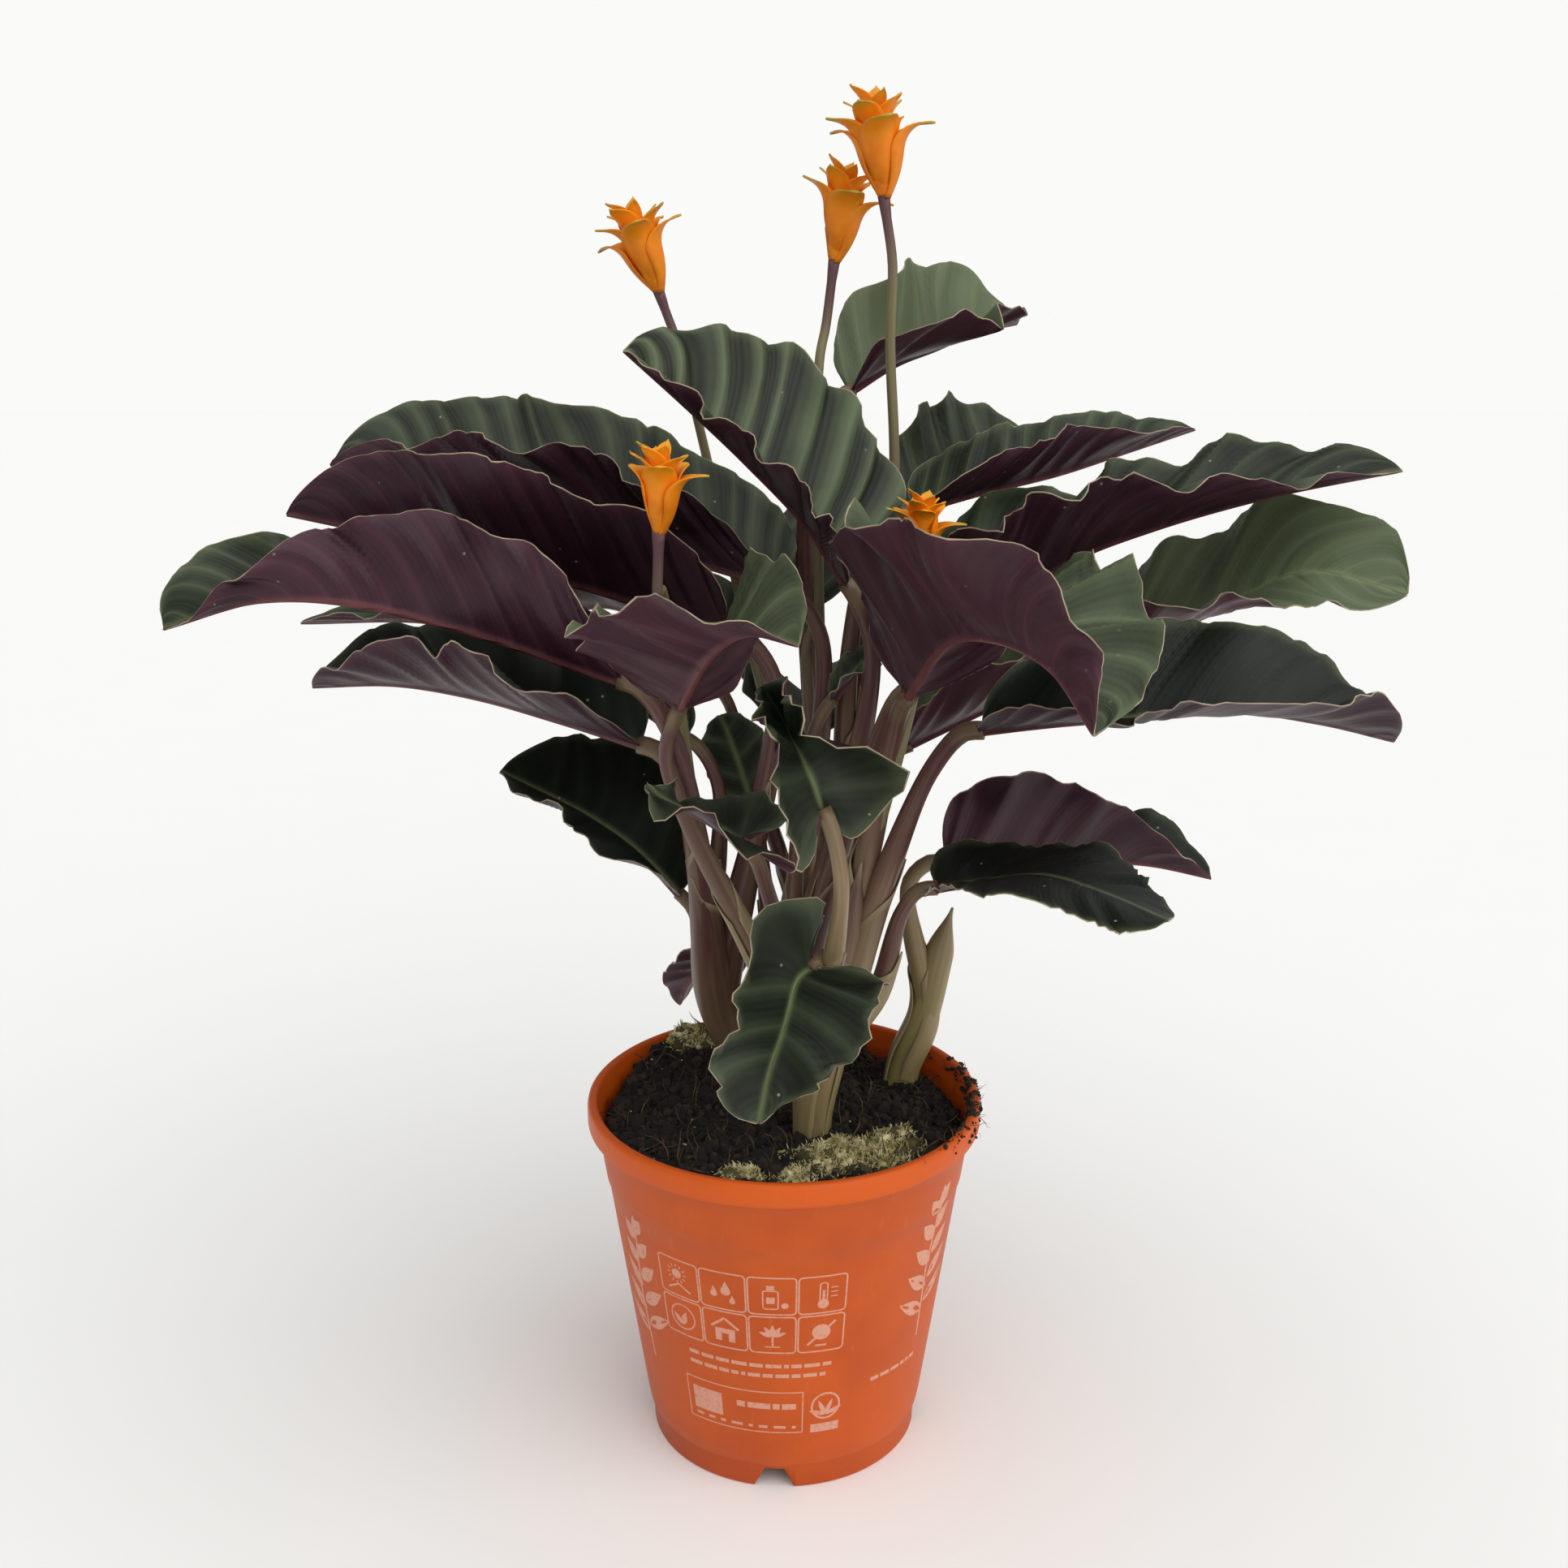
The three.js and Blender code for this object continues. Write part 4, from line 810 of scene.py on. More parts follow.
# A head one unit high: middle and top are the first bracts of the second and the third kind.
bractHead = {
    "count": 13, "middle": 4, "top": 8, "lowest": 0.0, "highest": 0.46, "leanOut": 0.05,
    "rows": 20, "columns": 9, "thickness": 0.016,
    "cone": ((0.045, 0), (0.065, 0.04), (0.13, 0.3), (0.12, 0.42), (0.06, 0.52)), "coneTop": 0.56,
    "coneSides": 20,
}
# Three kinds of bract: how long and wide, the angles it leaves the stalk and ends at (degrees from upright),
# and where along it the bend starts.
bractKinds = {
    "bract_1": {"length": 0.84, "half": 0.18, "leave": 22, "tip": 96, "bend": 0.44},
    "bract_2": {"length": 0.78, "half": 0.14, "leave": 19, "tip": 76, "bend": 0.42},
    "bract_3": {"length": 0.64, "half": 0.105, "leave": 14, "tip": 60, "bend": 0.46},
}


# A bract hugs the trumpet of the head, then bends out to a broad pointed tip.
def bractShape(name, kind):
    rows, columns = bractHead["rows"], bractHead["columns"]
    u, v = np.linspace(0, 1, rows), np.linspace(-1, 1, columns)
    upright = mix(kind["leave"], 4, smooth(u, 0.05, 0.5))
    angle = np.radians(mix(upright, kind["tip"], smooth(u, kind["bend"], 1.02)))
    step = kind["length"] / (rows - 1)
    x = 0.05 + np.concatenate([[0], np.cumsum(np.sin(angle[:-1]) * step)])
    z = np.concatenate([[0], np.cumsum(np.cos(angle[:-1]) * step)])
    body = 0.35 + 0.65 * smooth(u, 0.0, 0.55)
    width = kind["half"] * body * (1 - np.clip((u - 0.5) / 0.5, 0, 1) ** 3.2) + 0.004
    cup = 0.58 * (1 - smooth(u, 0.5, 0.95)) + 0.22
    grid = np.stack([x[:, None] - cup[:, None] * width[:, None] * v ** 2,
                     width[:, None] * v + 0 * u[:, None], z[:, None] + 0 * v], -1)
    grid[..., 2] += 0.007 * np.sin(8 * u[:, None] + 3 * v) * smooth(u, 0.3, 1)[:, None]
    normal = unit(np.cross(np.gradient(grid, axis=1), np.gradient(grid, axis=0)))
    keel = 1 + 0.8 * np.exp(-(v / 0.2) ** 2)
    half = bractHead["thickness"] / 2 * mix(1.3, 0.6, u)[:, None, None]
    outside, inside = grid + normal * half, grid - normal * half * keel[None, :, None]
    builder = Builder()
    builder.addSheet(outside / mm, inside / mm, 0, rise=u[:, None])
    return builder.piece(name, [bractMaterial])


# The closed cone of a head, on which the bracts overlap.
def coneShape(name):
    sides = bractHead["coneSides"]
    rings = lathe(bractHead["cone"], turns(sides))
    points = np.concatenate([rings.reshape(-1, 3), [(0, 0, 0), (0, 0, bractHead["coneTop"])]]) / mm
    return makePiece(name, bractMaterial, points, lathedFaces(len(rings), sides),
                     rise=np.clip(points[:, 2] * mm * 0.6, 0, 1))


# A tree with its inputs named, what they bring, and a function that puts a node into it.
def newTree(name, sockets):
    tree = bpy.data.node_groups.new(name, "GeometryNodeTree")
    tree.interface.new_socket("Geometry", in_out="INPUT", socket_type="NodeSocketGeometry")
    tree.interface.new_socket("Geometry", in_out="OUTPUT", socket_type="NodeSocketGeometry")
    for kind, names in sockets.items():
        for socket in names:
            tree.interface.new_socket(socket, in_out="INPUT", socket_type="NodeSocket" + kind)
    add = partial(addNode, tree)
    return tree, add("NodeGroupInput", out=None), add


def endTree(add, geometry, material):
    real = add("GeometryNodeRealizeInstances", geometry)
    dressed = add("GeometryNodeSetMaterial", {"Geometry": real, "Material": material})
    add("NodeGroupOutput", dressed, out=None)


# Bracts on a spiral: the lowest lean out furthest.
def bractTree():
    tree, given, add = newTree("bracts on a spiral", {
        "Collection": ("Bracts",), "Object": ("Cone",), "Int": ("Count", "Middle From", "Top From", "Seed"),
        "Float": ("Golden Angle", "Lowest", "Highest", "Lean Out"), "Material": ("Material",)})
    index = add("GeometryNodeInputIndex")
    share = add("Math DIVIDE", index, add("Math SUBTRACT", given["Count"], 1))
    line = add("GeometryNodeMeshLine", {"Count": given["Count"], "Offset": (0, 0, 0)})
    height = add("MapRange", {0: share, 3: given["Lowest"], 4: given["Highest"]})
    raised = add("GeometryNodeSetPosition", {0: line, "Position": add("CombineXYZ", {2: height})})
    jitter = add("FunctionNodeRandomValue", {2: -0.16, 3: 0.16, "Seed": given["Seed"]}, out=1)
    turn = add("Math MULTIPLY_ADD", index, given["Golden Angle"], jitter)
    lean = add("Math ADD", add("MapRange", {0: share, 3: given["Lean Out"], 4: 0.0}), jitter)
    shapes = add("GeometryNodeCollectionInfo",
                 {0: given["Bracts"], "Separate Children": True, "Reset Children": False})
    middle, top = [
        add("Math GREATER_THAN", index, add("Math SUBTRACT", given[start], 0.5))
        for start in ("Middle From", "Top From")]
    placed = add("GeometryNodeInstanceOnPoints", {
        "Points": raised, "Instance": shapes, "Pick Instance": True,
        "Instance Index": add("Math ADD", middle, top), "Rotation": add("CombineXYZ", {1: lean, 2: turn}),
        "Scale": add("MapRange", {0: share, 3: 1.0, 4: 0.86})})
    tone = add("FunctionNodeRandomValue", {"Seed": given["Seed"], "ID": index}, out=1)
    toned = add("GeometryNodeStoreNamedAttribute", {0: placed, "Name": "tone", "Value": tone},
                data_type="FLOAT", domain="INSTANCE")
    cone = add("GeometryNodeObjectInfo", given["Cone"], out="Geometry")
    endTree(add, add("GeometryNodeJoinGeometry", [cone, toned]), given["Material"])
    return tree


# Runs a tree on a carrier object and gives back what it makes as a plain mesh.
def grow(carrier, tree, values):
    modifier = carrier.modifiers.new("grow", "NODES")
    modifier.node_group = tree
    sockets = {s.name: s.identifier for s in tree.interface.items_tree if s.in_out == "INPUT"}
    for key, value in values.items():
        modifier[sockets[key]] = value
    mesh = workedOut(carrier)
    carrier.modifiers.remove(modifier)
    return mesh


def shelf(name, pieces):
    collection = bpy.data.collections.new(name)
    for piece in pieces:
        scene.collection.objects.unlink(piece)
        collection.objects.link(piece)
    return collection


bracts = [bractShape(name, kind) for name, kind in bractKinds.items()]
coneCore = coneShape("cone")
bractShapes = shelf("bract shapes", bracts)
spiral = bractTree()
for number, (name, head) in enumerate(headShapes.items()):
    carrier = showMesh("carrier", bpy.data.meshes.new("carrier"))
    mesh = grow(carrier, spiral, {
        "Bracts": bractShapes, "Cone": coneCore, "Count": bractHead["count"],
        "Middle From": bractHead["middle"], "Top From": bractHead["top"], "Golden Angle": goldenAngle,
        "Lowest": bractHead["lowest"], "Highest": bractHead["highest"], "Lean Out": bractHead["leanOut"],
        "Seed": number + 3, "Material": bractMaterial})
    discard(carrier)
    turn = Vector((0, 0, 1)).rotation_difference(Vector(head["to"])).to_matrix().to_4x4()
    mesh.transform(Matrix.Translation(Vector(head["at"]) * mm) @ turn @ Matrix.Scale(head["height"] * mm, 4))
    piece = showMesh("bracts_" + name, mesh)
    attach(piece, "root")
    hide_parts("flower_" + name)
discard(*bracts, coneCore)
bpy.data.collections.remove(bractShapes)
print("bract heads: done,", len(headShapes))

pot = {
    "height": 129, "rimRadius": 70, "rimBand": 8.5, "bandDepth": 2.6, "baseRadius": 50, "wall": 1.8,
    "stepHeight": 101, "step": 0.5, "footHeight": 9.5, "footRadius": 48.5, "footWall": 3.2, "floor": 2,
    "sides": 144, "notches": 4, "notchFoot": 14.5, "notchTop": 7, "notchHeight": 7.5, "notchTurn": -94,
    "drains": 6, "drainRadius": 4.5, "drainCircle": 30, "drainTurn": 15, "drainSides": 24,
    "drainLow": 2, "drainHigh": 17,
}
potFinish = {
    "orange": "#CB560E", "deep": "#BE4C07", "scuffed": "#D77438", "rim": "#DE5C0A", "print": "#D99A82",
    "patches": 30, "scuffs": 3, "skin": 0.9, "worn": 1.4,
}


# Polypropylene, injection moulded: an even satin skin, a little rougher in patches, with fine scuffs. The
# rolled rim is painted brighter: a painted highlight where the light from above catches its curve.
def potSkin():
    material, add = newMaterial("orange polypropylene, moulded")
    patches = add("MapRange", grain(add, potFinish["patches"], 4), 0.35, 0.65)
    scuffs = add("MapRange", grain(add, potFinish["scuffs"], 6, None, (1, 1, 0.25)), 0.62, 0.75)
    height = add("SeparateXYZ", add("TexCoord", out="Object"), out=2)
    # painted highlight: the rim band is brighter where the top light catches it
    rim = add("MapRange", height, (pot["height"] - 9) * mm, (pot["height"] - 7) * mm, 0.0, 0.6)
    coats = (
        (patches, potFinish["orange"]),
        (add("Math MULTIPLY", scuffs, 0.25), potFinish["scuffed"]),
        (rim, potFinish["rim"]),
    )
    reliefs = ((grain(add, potFinish["skin"], 2), 0.05, 0.5),)
    return finishMaterial(material, add, potFinish["deep"], coats, reliefs, {
        "Roughness": add("MapRange", patches, 0.0, 1.0, 0.42, 0.52), "IOR": 1.49, "Specular IOR Level": 0.34})


# Screen-printed ink: thin, pale pink, a little worn through to the plastic.
def printInk():
    material, add = newMaterial("screen-printed ink, pale pink")
    worn = add("MapRange", grain(add, potFinish["worn"], 5), 0.52, 0.72)
    coats = ((add("Math MULTIPLY", worn, 0.55), potFinish["orange"]),)
    return finishMaterial(material, add, potFinish["print"], coats, (), {"Roughness": 0.6})


potMaterial, inkMaterial = potSkin(), printInk()


def potRadius(z):
    under = pot["rimRadius"] - pot["bandDepth"]
    t = (z - pot["footHeight"]) / (pot["height"] - pot["footHeight"])
    return mix(pot["baseRadius"], under, t) + pot["step"] * (z > pot["stepHeight"])


# Radius and height along the section: up the outside, over the rim and down the inside.
def potProfile():
    band, rim, top = pot["height"] - pot["rimBand"], pot["rimRadius"], pot["height"]
    foot, footRadius, wall = pot["footHeight"], pot["footRadius"], pot["wall"]
    step, inner = pot["stepHeight"], foot + pot["floor"]
    hollow = footRadius - pot["footWall"]
    return [
        (hollow, foot - 1), (hollow, 0.5), (hollow + 0.5, 0), (footRadius - 0.6, 0), (footRadius, 0.6),
        (footRadius, foot - 0.9), (potRadius(foot) - 0.8, foot - 0.2), (potRadius(foot), foot + 1.2),
        *((potRadius(z), z) for z in np.linspace(foot + 6, step - 0.3, 12)),
        (potRadius(step + 0.4), step + 0.4),
        *((potRadius(z), z) for z in np.linspace(step + 3, band - 0.6, 4)),
        (potRadius(band) + 0.4, band - 0.1), (rim - 0.9, band), (rim - 0.2, band + 0.3), (rim, band + 1),
        (rim, top - 2), (rim - 0.35, top - 0.7), (rim - 1.1, top - 0.1), (rim - 2, top),
        (rim - 2.9, top - 0.2), (rim - 3.6, top - 1), (potRadius(band) - wall, band - 2),
        *((potRadius(z) - wall, z) for z in np.linspace(step, inner + 1.5, 8)),
        (potRadius(inner) - wall - 1.2, inner),
    ]


# A closed prism between two outlines of (x, y) points, used to cut the notches and the drain holes.
def prism(name, outline, low, high, above=None):
    points = [(x, y, low) for x, y in outline] + [(x, y, high) for x, y in above or outline]
    return makePiece(name, potMaterial, points, tubeFaces(2, len(outline)), shade=False)


def ring(x, y, radius, count=20):
    return [(x + radius * math.cos(a), y + radius * math.sin(a)) for a in turns(count)]


def notchCutter(turn):
    across, c, s = pot["footWall"] * 2, math.cos(turn), math.sin(turn)
    outlines = []
    for wide in (2 * pot["notchFoot"] - pot["notchTop"], pot["notchTop"]):
        near, far = pot["footRadius"] - across, pot["footRadius"] + across
        corners = ((near, -wide / 2), (far, -wide / 2), (far, wide / 2), (near, wide / 2))
        outlines.append([(x * c - y * s, x * s + y * c) for x, y in corners])
    return prism("notch", outlines[0], -pot["notchHeight"], pot["notchHeight"], outlines[1])


def drainCutter(turn):
    x, y = pot["drainCircle"] * math.cos(turn), pot["drainCircle"] * math.sin(turn)
    outline = ring(x, y, pot["drainRadius"], pot["drainSides"])
    return prism("drain", outline, pot["drainLow"], pot["drainHigh"])


def makePot():
    rings = lathe(potProfile(), turns(pot["sides"]))
    middles = [(0, 0, pot["footHeight"] - 1), (0, 0, pot["footHeight"] + pot["floor"])]
    body = makePiece("pot_shell", potMaterial, np.concatenate([rings.reshape(-1, 3), middles]),
                     lathedFaces(len(rings), pot["sides"]))
    cutters = [
        make(math.radians(pot[first] + 360 / pot[many] * k))
        for make, first, many in ((notchCutter, "notchTurn", "notches"), (drainCutter, "drainTurn", "drains"))
        for k in range(pot[many])]
    for cutter in cutters:
        modifier = body.modifiers.new("cut", "BOOLEAN")
        modifier.operation, modifier.object, modifier.solver = "DIFFERENCE", cutter, "EXACT"
    mesh = workedOut(body)
    discard(body, *cutters)
    mesh.name = "pot_shell"
    piece = showMesh("pot_shell", mesh)
    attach(piece, "root")
    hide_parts("pot")


makePot()

# Places of the printing are millimetres round the wall from the front, and heights above the table.
printing = {
    "lift": 0.05, "depth": 0.25, "line": 0.55, "fineLine": 0.4, "step": 1.6,
    "readAt": 70,  # the height where places round the wall are true to scale
    "cell": (15.8, 15.0), "cellGap": 0.8, "gridLeft": -45.0, "gridTop": 90.8,
    "shortest": 1.6,  # dash
    # small print: left, right, bottom, height, seed, longest dash and gap
    "dashes": (
        (-36, 17, 53.2, 1.5, 5, 6, 0.9), (-36, 15, 49.0, 1.5, 6, 6, 0.9), (-18, 4.5, 35.2, 2.4, 8, 9, 0.9),
        (-36, 4.5, 26.8, 1.1, 9, 5, 2.4), (34, 60, 41, 1.5, 12, 6, 0.9)),
    # sprigs, in place of a picture: the middle, and the size
    "sprigs": (((-58, 68), 1.05), ((58, 78), 1.1), *(((x, 66), 1.0) for x in (118, 168, 218, 268))),
}


# Collects flat shapes drawn on the wall round the point at; each is a fan or a strip of small faces.
class Drawing:
    def __init__(self):
        self.builder, self.at = Builder(), (0, 0)

    def add(self, flat, faces):
        flat = np.asarray(flat, float).reshape(-1, 2) + self.at
        radius = potRadius(flat[:, 1]) + printing["lift"]
        angle = flat[:, 0] / potRadius(printing["readAt"])
        points = np.stack([radius * np.sin(angle), -radius * np.cos(angle), flat[:, 1]], -1)
        self.builder.add(points, faces, 0)

    def stroke(self, points, width=None, closed=False):
        p = np.array(list(points) + ([points[0]] if closed else []), float)
        dense = [p[0]]
        for a, b in zip(p[:-1], p[1:]):
            parts = max(1, math.ceil(np.linalg.norm(b - a) / printing["step"]))
            dense += [mix(a, b, k / parts) for k in range(1, parts + 1)]
        dense = np.array(dense)
        if closed:
            dense = dense[:-1]
            direction = unit(np.roll(dense, -1, 0) - np.roll(dense, 1, 0))
        else:
            direction = unit(np.gradient(dense, axis=0))
        aside = np.stack([-direction[:, 1], direction[:, 0]], -1) * (width or printing["line"]) / 2
        count = len(dense)
        pairs = [(k, (k + 1) % count) for k in range(count - (not closed))]
        self.add(np.stack([dense + aside, dense - aside], 1),
                 [[2 * k + 1, 2 * after + 1, 2 * after, 2 * k] for k, after in pairs])

    def blob(self, outline):
        p = np.array(outline, float)
        faces = [[0, 1 + k, 1 + (k + 1) % len(p)] for k in range(len(p))]
        area = np.sum(p[:, 0] * np.roll(p[:, 1], -1) - np.roll(p[:, 0], -1) * p[:, 1])
        self.add(np.concatenate([[p.mean(0)], p]), faces if area > 0 else [f[::-1] for f in faces])

    def block(self, left, bottom, width, height):
        columns = max(2, math.ceil(width / printing["step"]) + 1)
        x, z = np.meshgrid(np.linspace(left, left + width, columns), (bottom, bottom + height))
        self.add(np.stack([x, z], -1), gridFaces(2, columns))

    # A rounded frame.
    def frame(self, left, bottom, width, height, corner=1.4, line=None):
        near, far, low, high = left + corner, left + width - corner, bottom + corner, bottom + height - corner
        outline = [(x + corner * math.cos(a + q * math.pi / 2), z + corner * math.sin(a + q * math.pi / 2))
                   for q, (x, z) in enumerate(((far, high), (near, high), (near, low), (far, low)))
                   for a in np.linspace(0, math.pi / 2, 5)]
        self.stroke(outline, line, closed=True)

    # Short dashes in a row, in place of small print.
    def dashes(self, left, right, bottom, height, seed, longest, gap):
        draw = random.Random(seed)
        while left < right - 1:
            width = min(draw.uniform(printing["shortest"], longest), right - left)
            self.block(left, bottom, width, height)
            left += width + gap


def leafOutline(x, z, length, width, turn):
    along = np.linspace(0, 1, 12)
    side = [(a * length, width / 2 * h) for a, h in zip(along, np.sin(np.pi * along ** 0.8))]
    side += [(a, -h) for a, h in side[-2:0:-1]]
    c, s = math.cos(turn), math.sin(turn)
    return [(x + p * c - q * s, z + p * s + q * c) for p, q in side]


def dropOutline(x, z, size):
    return [(x + size * math.sin(a) * (0.5 - 0.5 * math.cos(a)) * 1.3, z + size * math.cos(a) * 1.5)
            for a in turns(18)]


# Eight plain care signs, drawn round the middle of a cell: each shape is what draws it and its places.
fine = printing["fineLine"]
signs = (
    (  # sun over a hill
        ("blob", ring(-0.5, 1.6, 1.9)), ("stroke", ((-4.5, -5), (0, -2.4), (4.5, -5)), 0.7),
        *(("stroke", ray, fine) for ray in zip(ring(-0.5, 1.6, 2.7, 12), ring(-0.5, 1.6, 4, 12))),
    ),
    (  # three drops
        ("blob", dropOutline(-3, -0.5, 1.5)), ("blob", dropOutline(1.2, 1.4, 2.0)),
        ("blob", dropOutline(3.4, -3.0, 1.2)),
    ),
    (  # bottle of feed
        ("frame", -3, -5.2, 5, 7.4, 0.8, 0.5), ("block", -1.8, 2.6, 2.6, 1.8), ("block", -1.9, -3, 2.8, 2.6),
        ("blob", ring(4.2, -3.8, 1.2)),
    ),
    (  # thermometer
        ("stroke", ((-1, -2.2), (-1, 4.4), (0.2, 5), (1.4, 4.4), (1.4, -2.2)), 0.5),
        ("block", -0.2, -2.6, 0.9, 4.4), ("blob", ring(0.2, -3.8, 1.9)),
        *(("stroke", ((2.6, z), (5, z)), fine) for z in (-1, 0.8, 2.6)),
    ),
    (  # two leaves in a ring
        ("stroke", ring(0, 0, 5), 0.55, True), ("blob", leafOutline(-0.4, -3.4, 6, 2.4, 1.25)),
        ("blob", leafOutline(-0.8, -3.2, 5, 2.0, 2.2)),
    ),
    (  # house
        ("stroke", ((-5, 0.6), (0, 4.8), (5, 0.6)), 0.9), ("block", -3.6, -4.8, 2.3, 5.2),
        ("block", 1.3, -4.8, 2.3, 5.2), ("block", -1.3, -1.6, 2.6, 2.0),
    ),
    (  # sprout
        ("stroke", ((0, -4.6), (0, 0.4)), 0.7), ("stroke", ((-2.6, -5), (2.6, -5)), fine),
        *(("blob", leafOutline(0, -0.6, 5, 1.7, turn)) for turn in (0.35, 0.95, 1.57, 2.2, 2.8)),
    ),
    (  # no direct sun
        ("blob", ring(0, 0.6, 3.2)), ("stroke", ((-4.8, -4.6), (4.8, 4.8)), 0.8),
        ("stroke", ((-2, -4.9), (2, -4.9)), 0.7),
    ),
)
# A plate with a code block beside a round badge with four leaves, on the pot itself.
plate = (
    ("frame", -39, 25, 46, 17.5, 0.3, 0.45), ("block", -36.4, 29.4, 12.4, 9.6),
    ("block", 10.2, 24.4, 11.2, 3.6), ("stroke", ring(15.8, 35.6, 5.4), 0.8, True),
    *(("blob", leafOutline(15.8, 31.8, 7, 1.8, turn)) for turn in (0.4, 1.2, 2.0, 2.8)),
    *(("dashes", *row) for row in printing["dashes"]),
)


def drawSprig(drawing, size):
    drawing.stroke([(0, -26 * size), (-1.5 * size, 0), (1 * size, 24 * size)], 0.9 * size)
    for k in range(5):
        for way in (-1, 1):
            turn = math.pi / 2 - way * (1.05 - 0.1 * k)
            height = (-16 + 9 * k + 3 * (way > 0)) * size
            drawing.blob(leafOutline(0, height, (15 - 1.8 * k) * size, 5 * size, turn))
    drawing.blob(leafOutline(1 * size, 22 * size, 8 * size, 3.4 * size, math.pi / 2))


def makePrinting():
    drawing = Drawing()
    (wide, tall), between = printing["cell"], printing["cellGap"]
    for number, sign in enumerate(signs):
        row, column = divmod(number, 4)
        drawing.at = (printing["gridLeft"] + column * (wide + between) + wide / 2,
                      printing["gridTop"] - tall / 2 - row * (tall + between + 0.3))
        for way, *shape in (("frame", -wide / 2, -tall / 2, wide, tall), *sign):
            getattr(drawing, way)(*shape)
    drawing.at = (0, 0)
    for way, *shape in plate:
        getattr(drawing, way)(*shape)
    for drawing.at, size in printing["sprigs"]:
        drawSprig(drawing, size)
    piece = drawing.builder.piece("pot_printing", [inkMaterial], shade=False)
    modifier = piece.modifiers.new("ink", "SOLIDIFY")
    modifier.thickness, modifier.offset = printing["depth"] * mm, -1
    mesh = workedOut(piece)
    discard(piece)
    piece = showMesh("pot_printing", mesh)
    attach(piece, "root")


makePrinting()
print("pot: done")

soilFinish = {
    "peat": "#1A1411", "peatDark": "#0B0807", "peatDry": "#2B211A", "bark": "#3A2B20", "fibre": "#6B563E",
    "moss": "#A59C5C", "mossDry": "#E9DFB2", "mossDeep": "#5F5A34",
}


# Peat: crumbly and damp; painted shade makes the hollows of its relief nearly black, the raised crumbs keep a
# browner colour, and drier patches lie over it.
def peatSkin(name, dark, light, size):
    material, add = newMaterial(name)
    crumbs = grain(add, size, 6)
    mossy = add("Attribute", attribute_name="mossy", out="Fac")
    coats = (
        # painted shade: the low parts of the crumb relief take the darker colour
        (add("MapRange", crumbs, 0.35, 0.65), light),
        (add("MapRange", grain(add, 14, 3), 0.5, 0.75, 0.0, 0.6), soilFinish["peatDry"]),
        (add("MapRange", mossy, 0.15, 0.7, 0.0, 0.85), soilFinish["mossDeep"]),
    )
    return finishMaterial(material, add, dark, coats, ((crumbs, 0.8, 0.9),), {"Roughness": 0.92})


# Plant litter: dull, dry, each bit of its own shade.
def litterSkin(name, first, second):
    material, add = newMaterial(name)
    coats = ((add("MapRange", grain(add, 4, 4), 0.35, 0.65), second),)
    return finishMaterial(material, add, first, coats, ((grain(add, 0.7), 0.2, 0.7),), {"Roughness": 0.85})


peatMaterial = peatSkin("peat, damp", soilFinish["peatDark"], soilFinish["peat"], 2.2)
crumbMaterial = peatSkin("peat crumbs", soilFinish["peat"], soilFinish["bark"], 5)
fibreMaterial = litterSkin("peat fibre, dry", soilFinish["fibre"], soilFinish["bark"])
mossMaterial = litterSkin("sphagnum moss, half dry", soilFinish["moss"], soilFinish["mossDry"])

soilShape = {
    "rings": 70, "sectors": 190, "edge": 63.4, "foot": 11.8, "slump": 2.2, "slumpFrom": 60.5, "swell": 0.9,
    "lump": 2.2, "lumpSize": 7, "fineLump": 0.8, "fineSize": 2.4, "mossLump": 4.4, "mossSize": 4,
    "clearWithin": 62, "clearAbove": 100,  # where bits may lie
    # moss grows in a patch at the front right and in a tuft on the mound: x, y and the half widths of each
    "moss": ((24, -34, 19, 11), (37, -24, 10, 8), (-33, 44, 10, 8), (-14, -48, 7, 5), (4, -50, 6, 4)),
}
# Peat was spilt over the rim at the right: a strip between two angles in degrees that only carries the bits,
# with the radius and height of its section, and how much lies there.
spill = {
    "section": ((65, 125.5), (67.3, 129), (69.2, 129), (70, 127.5), (70, 124), (70, 121)),
    "much": (1, 1, 0.75, 0.4, 0.25, 0.1), "from": -48, "to": 36, "columns": 60, "middle": -6, "spread": 25,
}


def mossShare(x, y):
    far = (((x - cx) / rx) ** 2 + ((y - cy) / ry) ** 2 for cx, cy, rx, ry in soilShape["moss"])
    return max(math.exp(-f ** 2) for f in far)


def soilHeight(x, y):
    far = math.hypot(x - soil["moundAt"][0], y - soil["moundAt"][1]) / soil["moundSpread"]
    lumps = math.sin(x * 0.31 + 1) * math.cos(y * 0.27) + 0.6 * math.sin(x * 0.13 - y * 0.41)
    height = soil["level"] + soil["mound"] * math.exp(-far * far) + soilShape["swell"] * lumps
    height += soilShape["lump"] * noise.noise(Vector((x, y, 0)) / soilShape["lumpSize"])
    cushion = 0.6 + noise.noise(Vector((x, y, 9)) / soilShape["mossSize"])
    height += soilShape["mossLump"] * mossShare(x, y) * cushion
    return height + soilShape["fineLump"] * noise.noise(Vector((x, y, 40)) / soilShape["fineSize"])


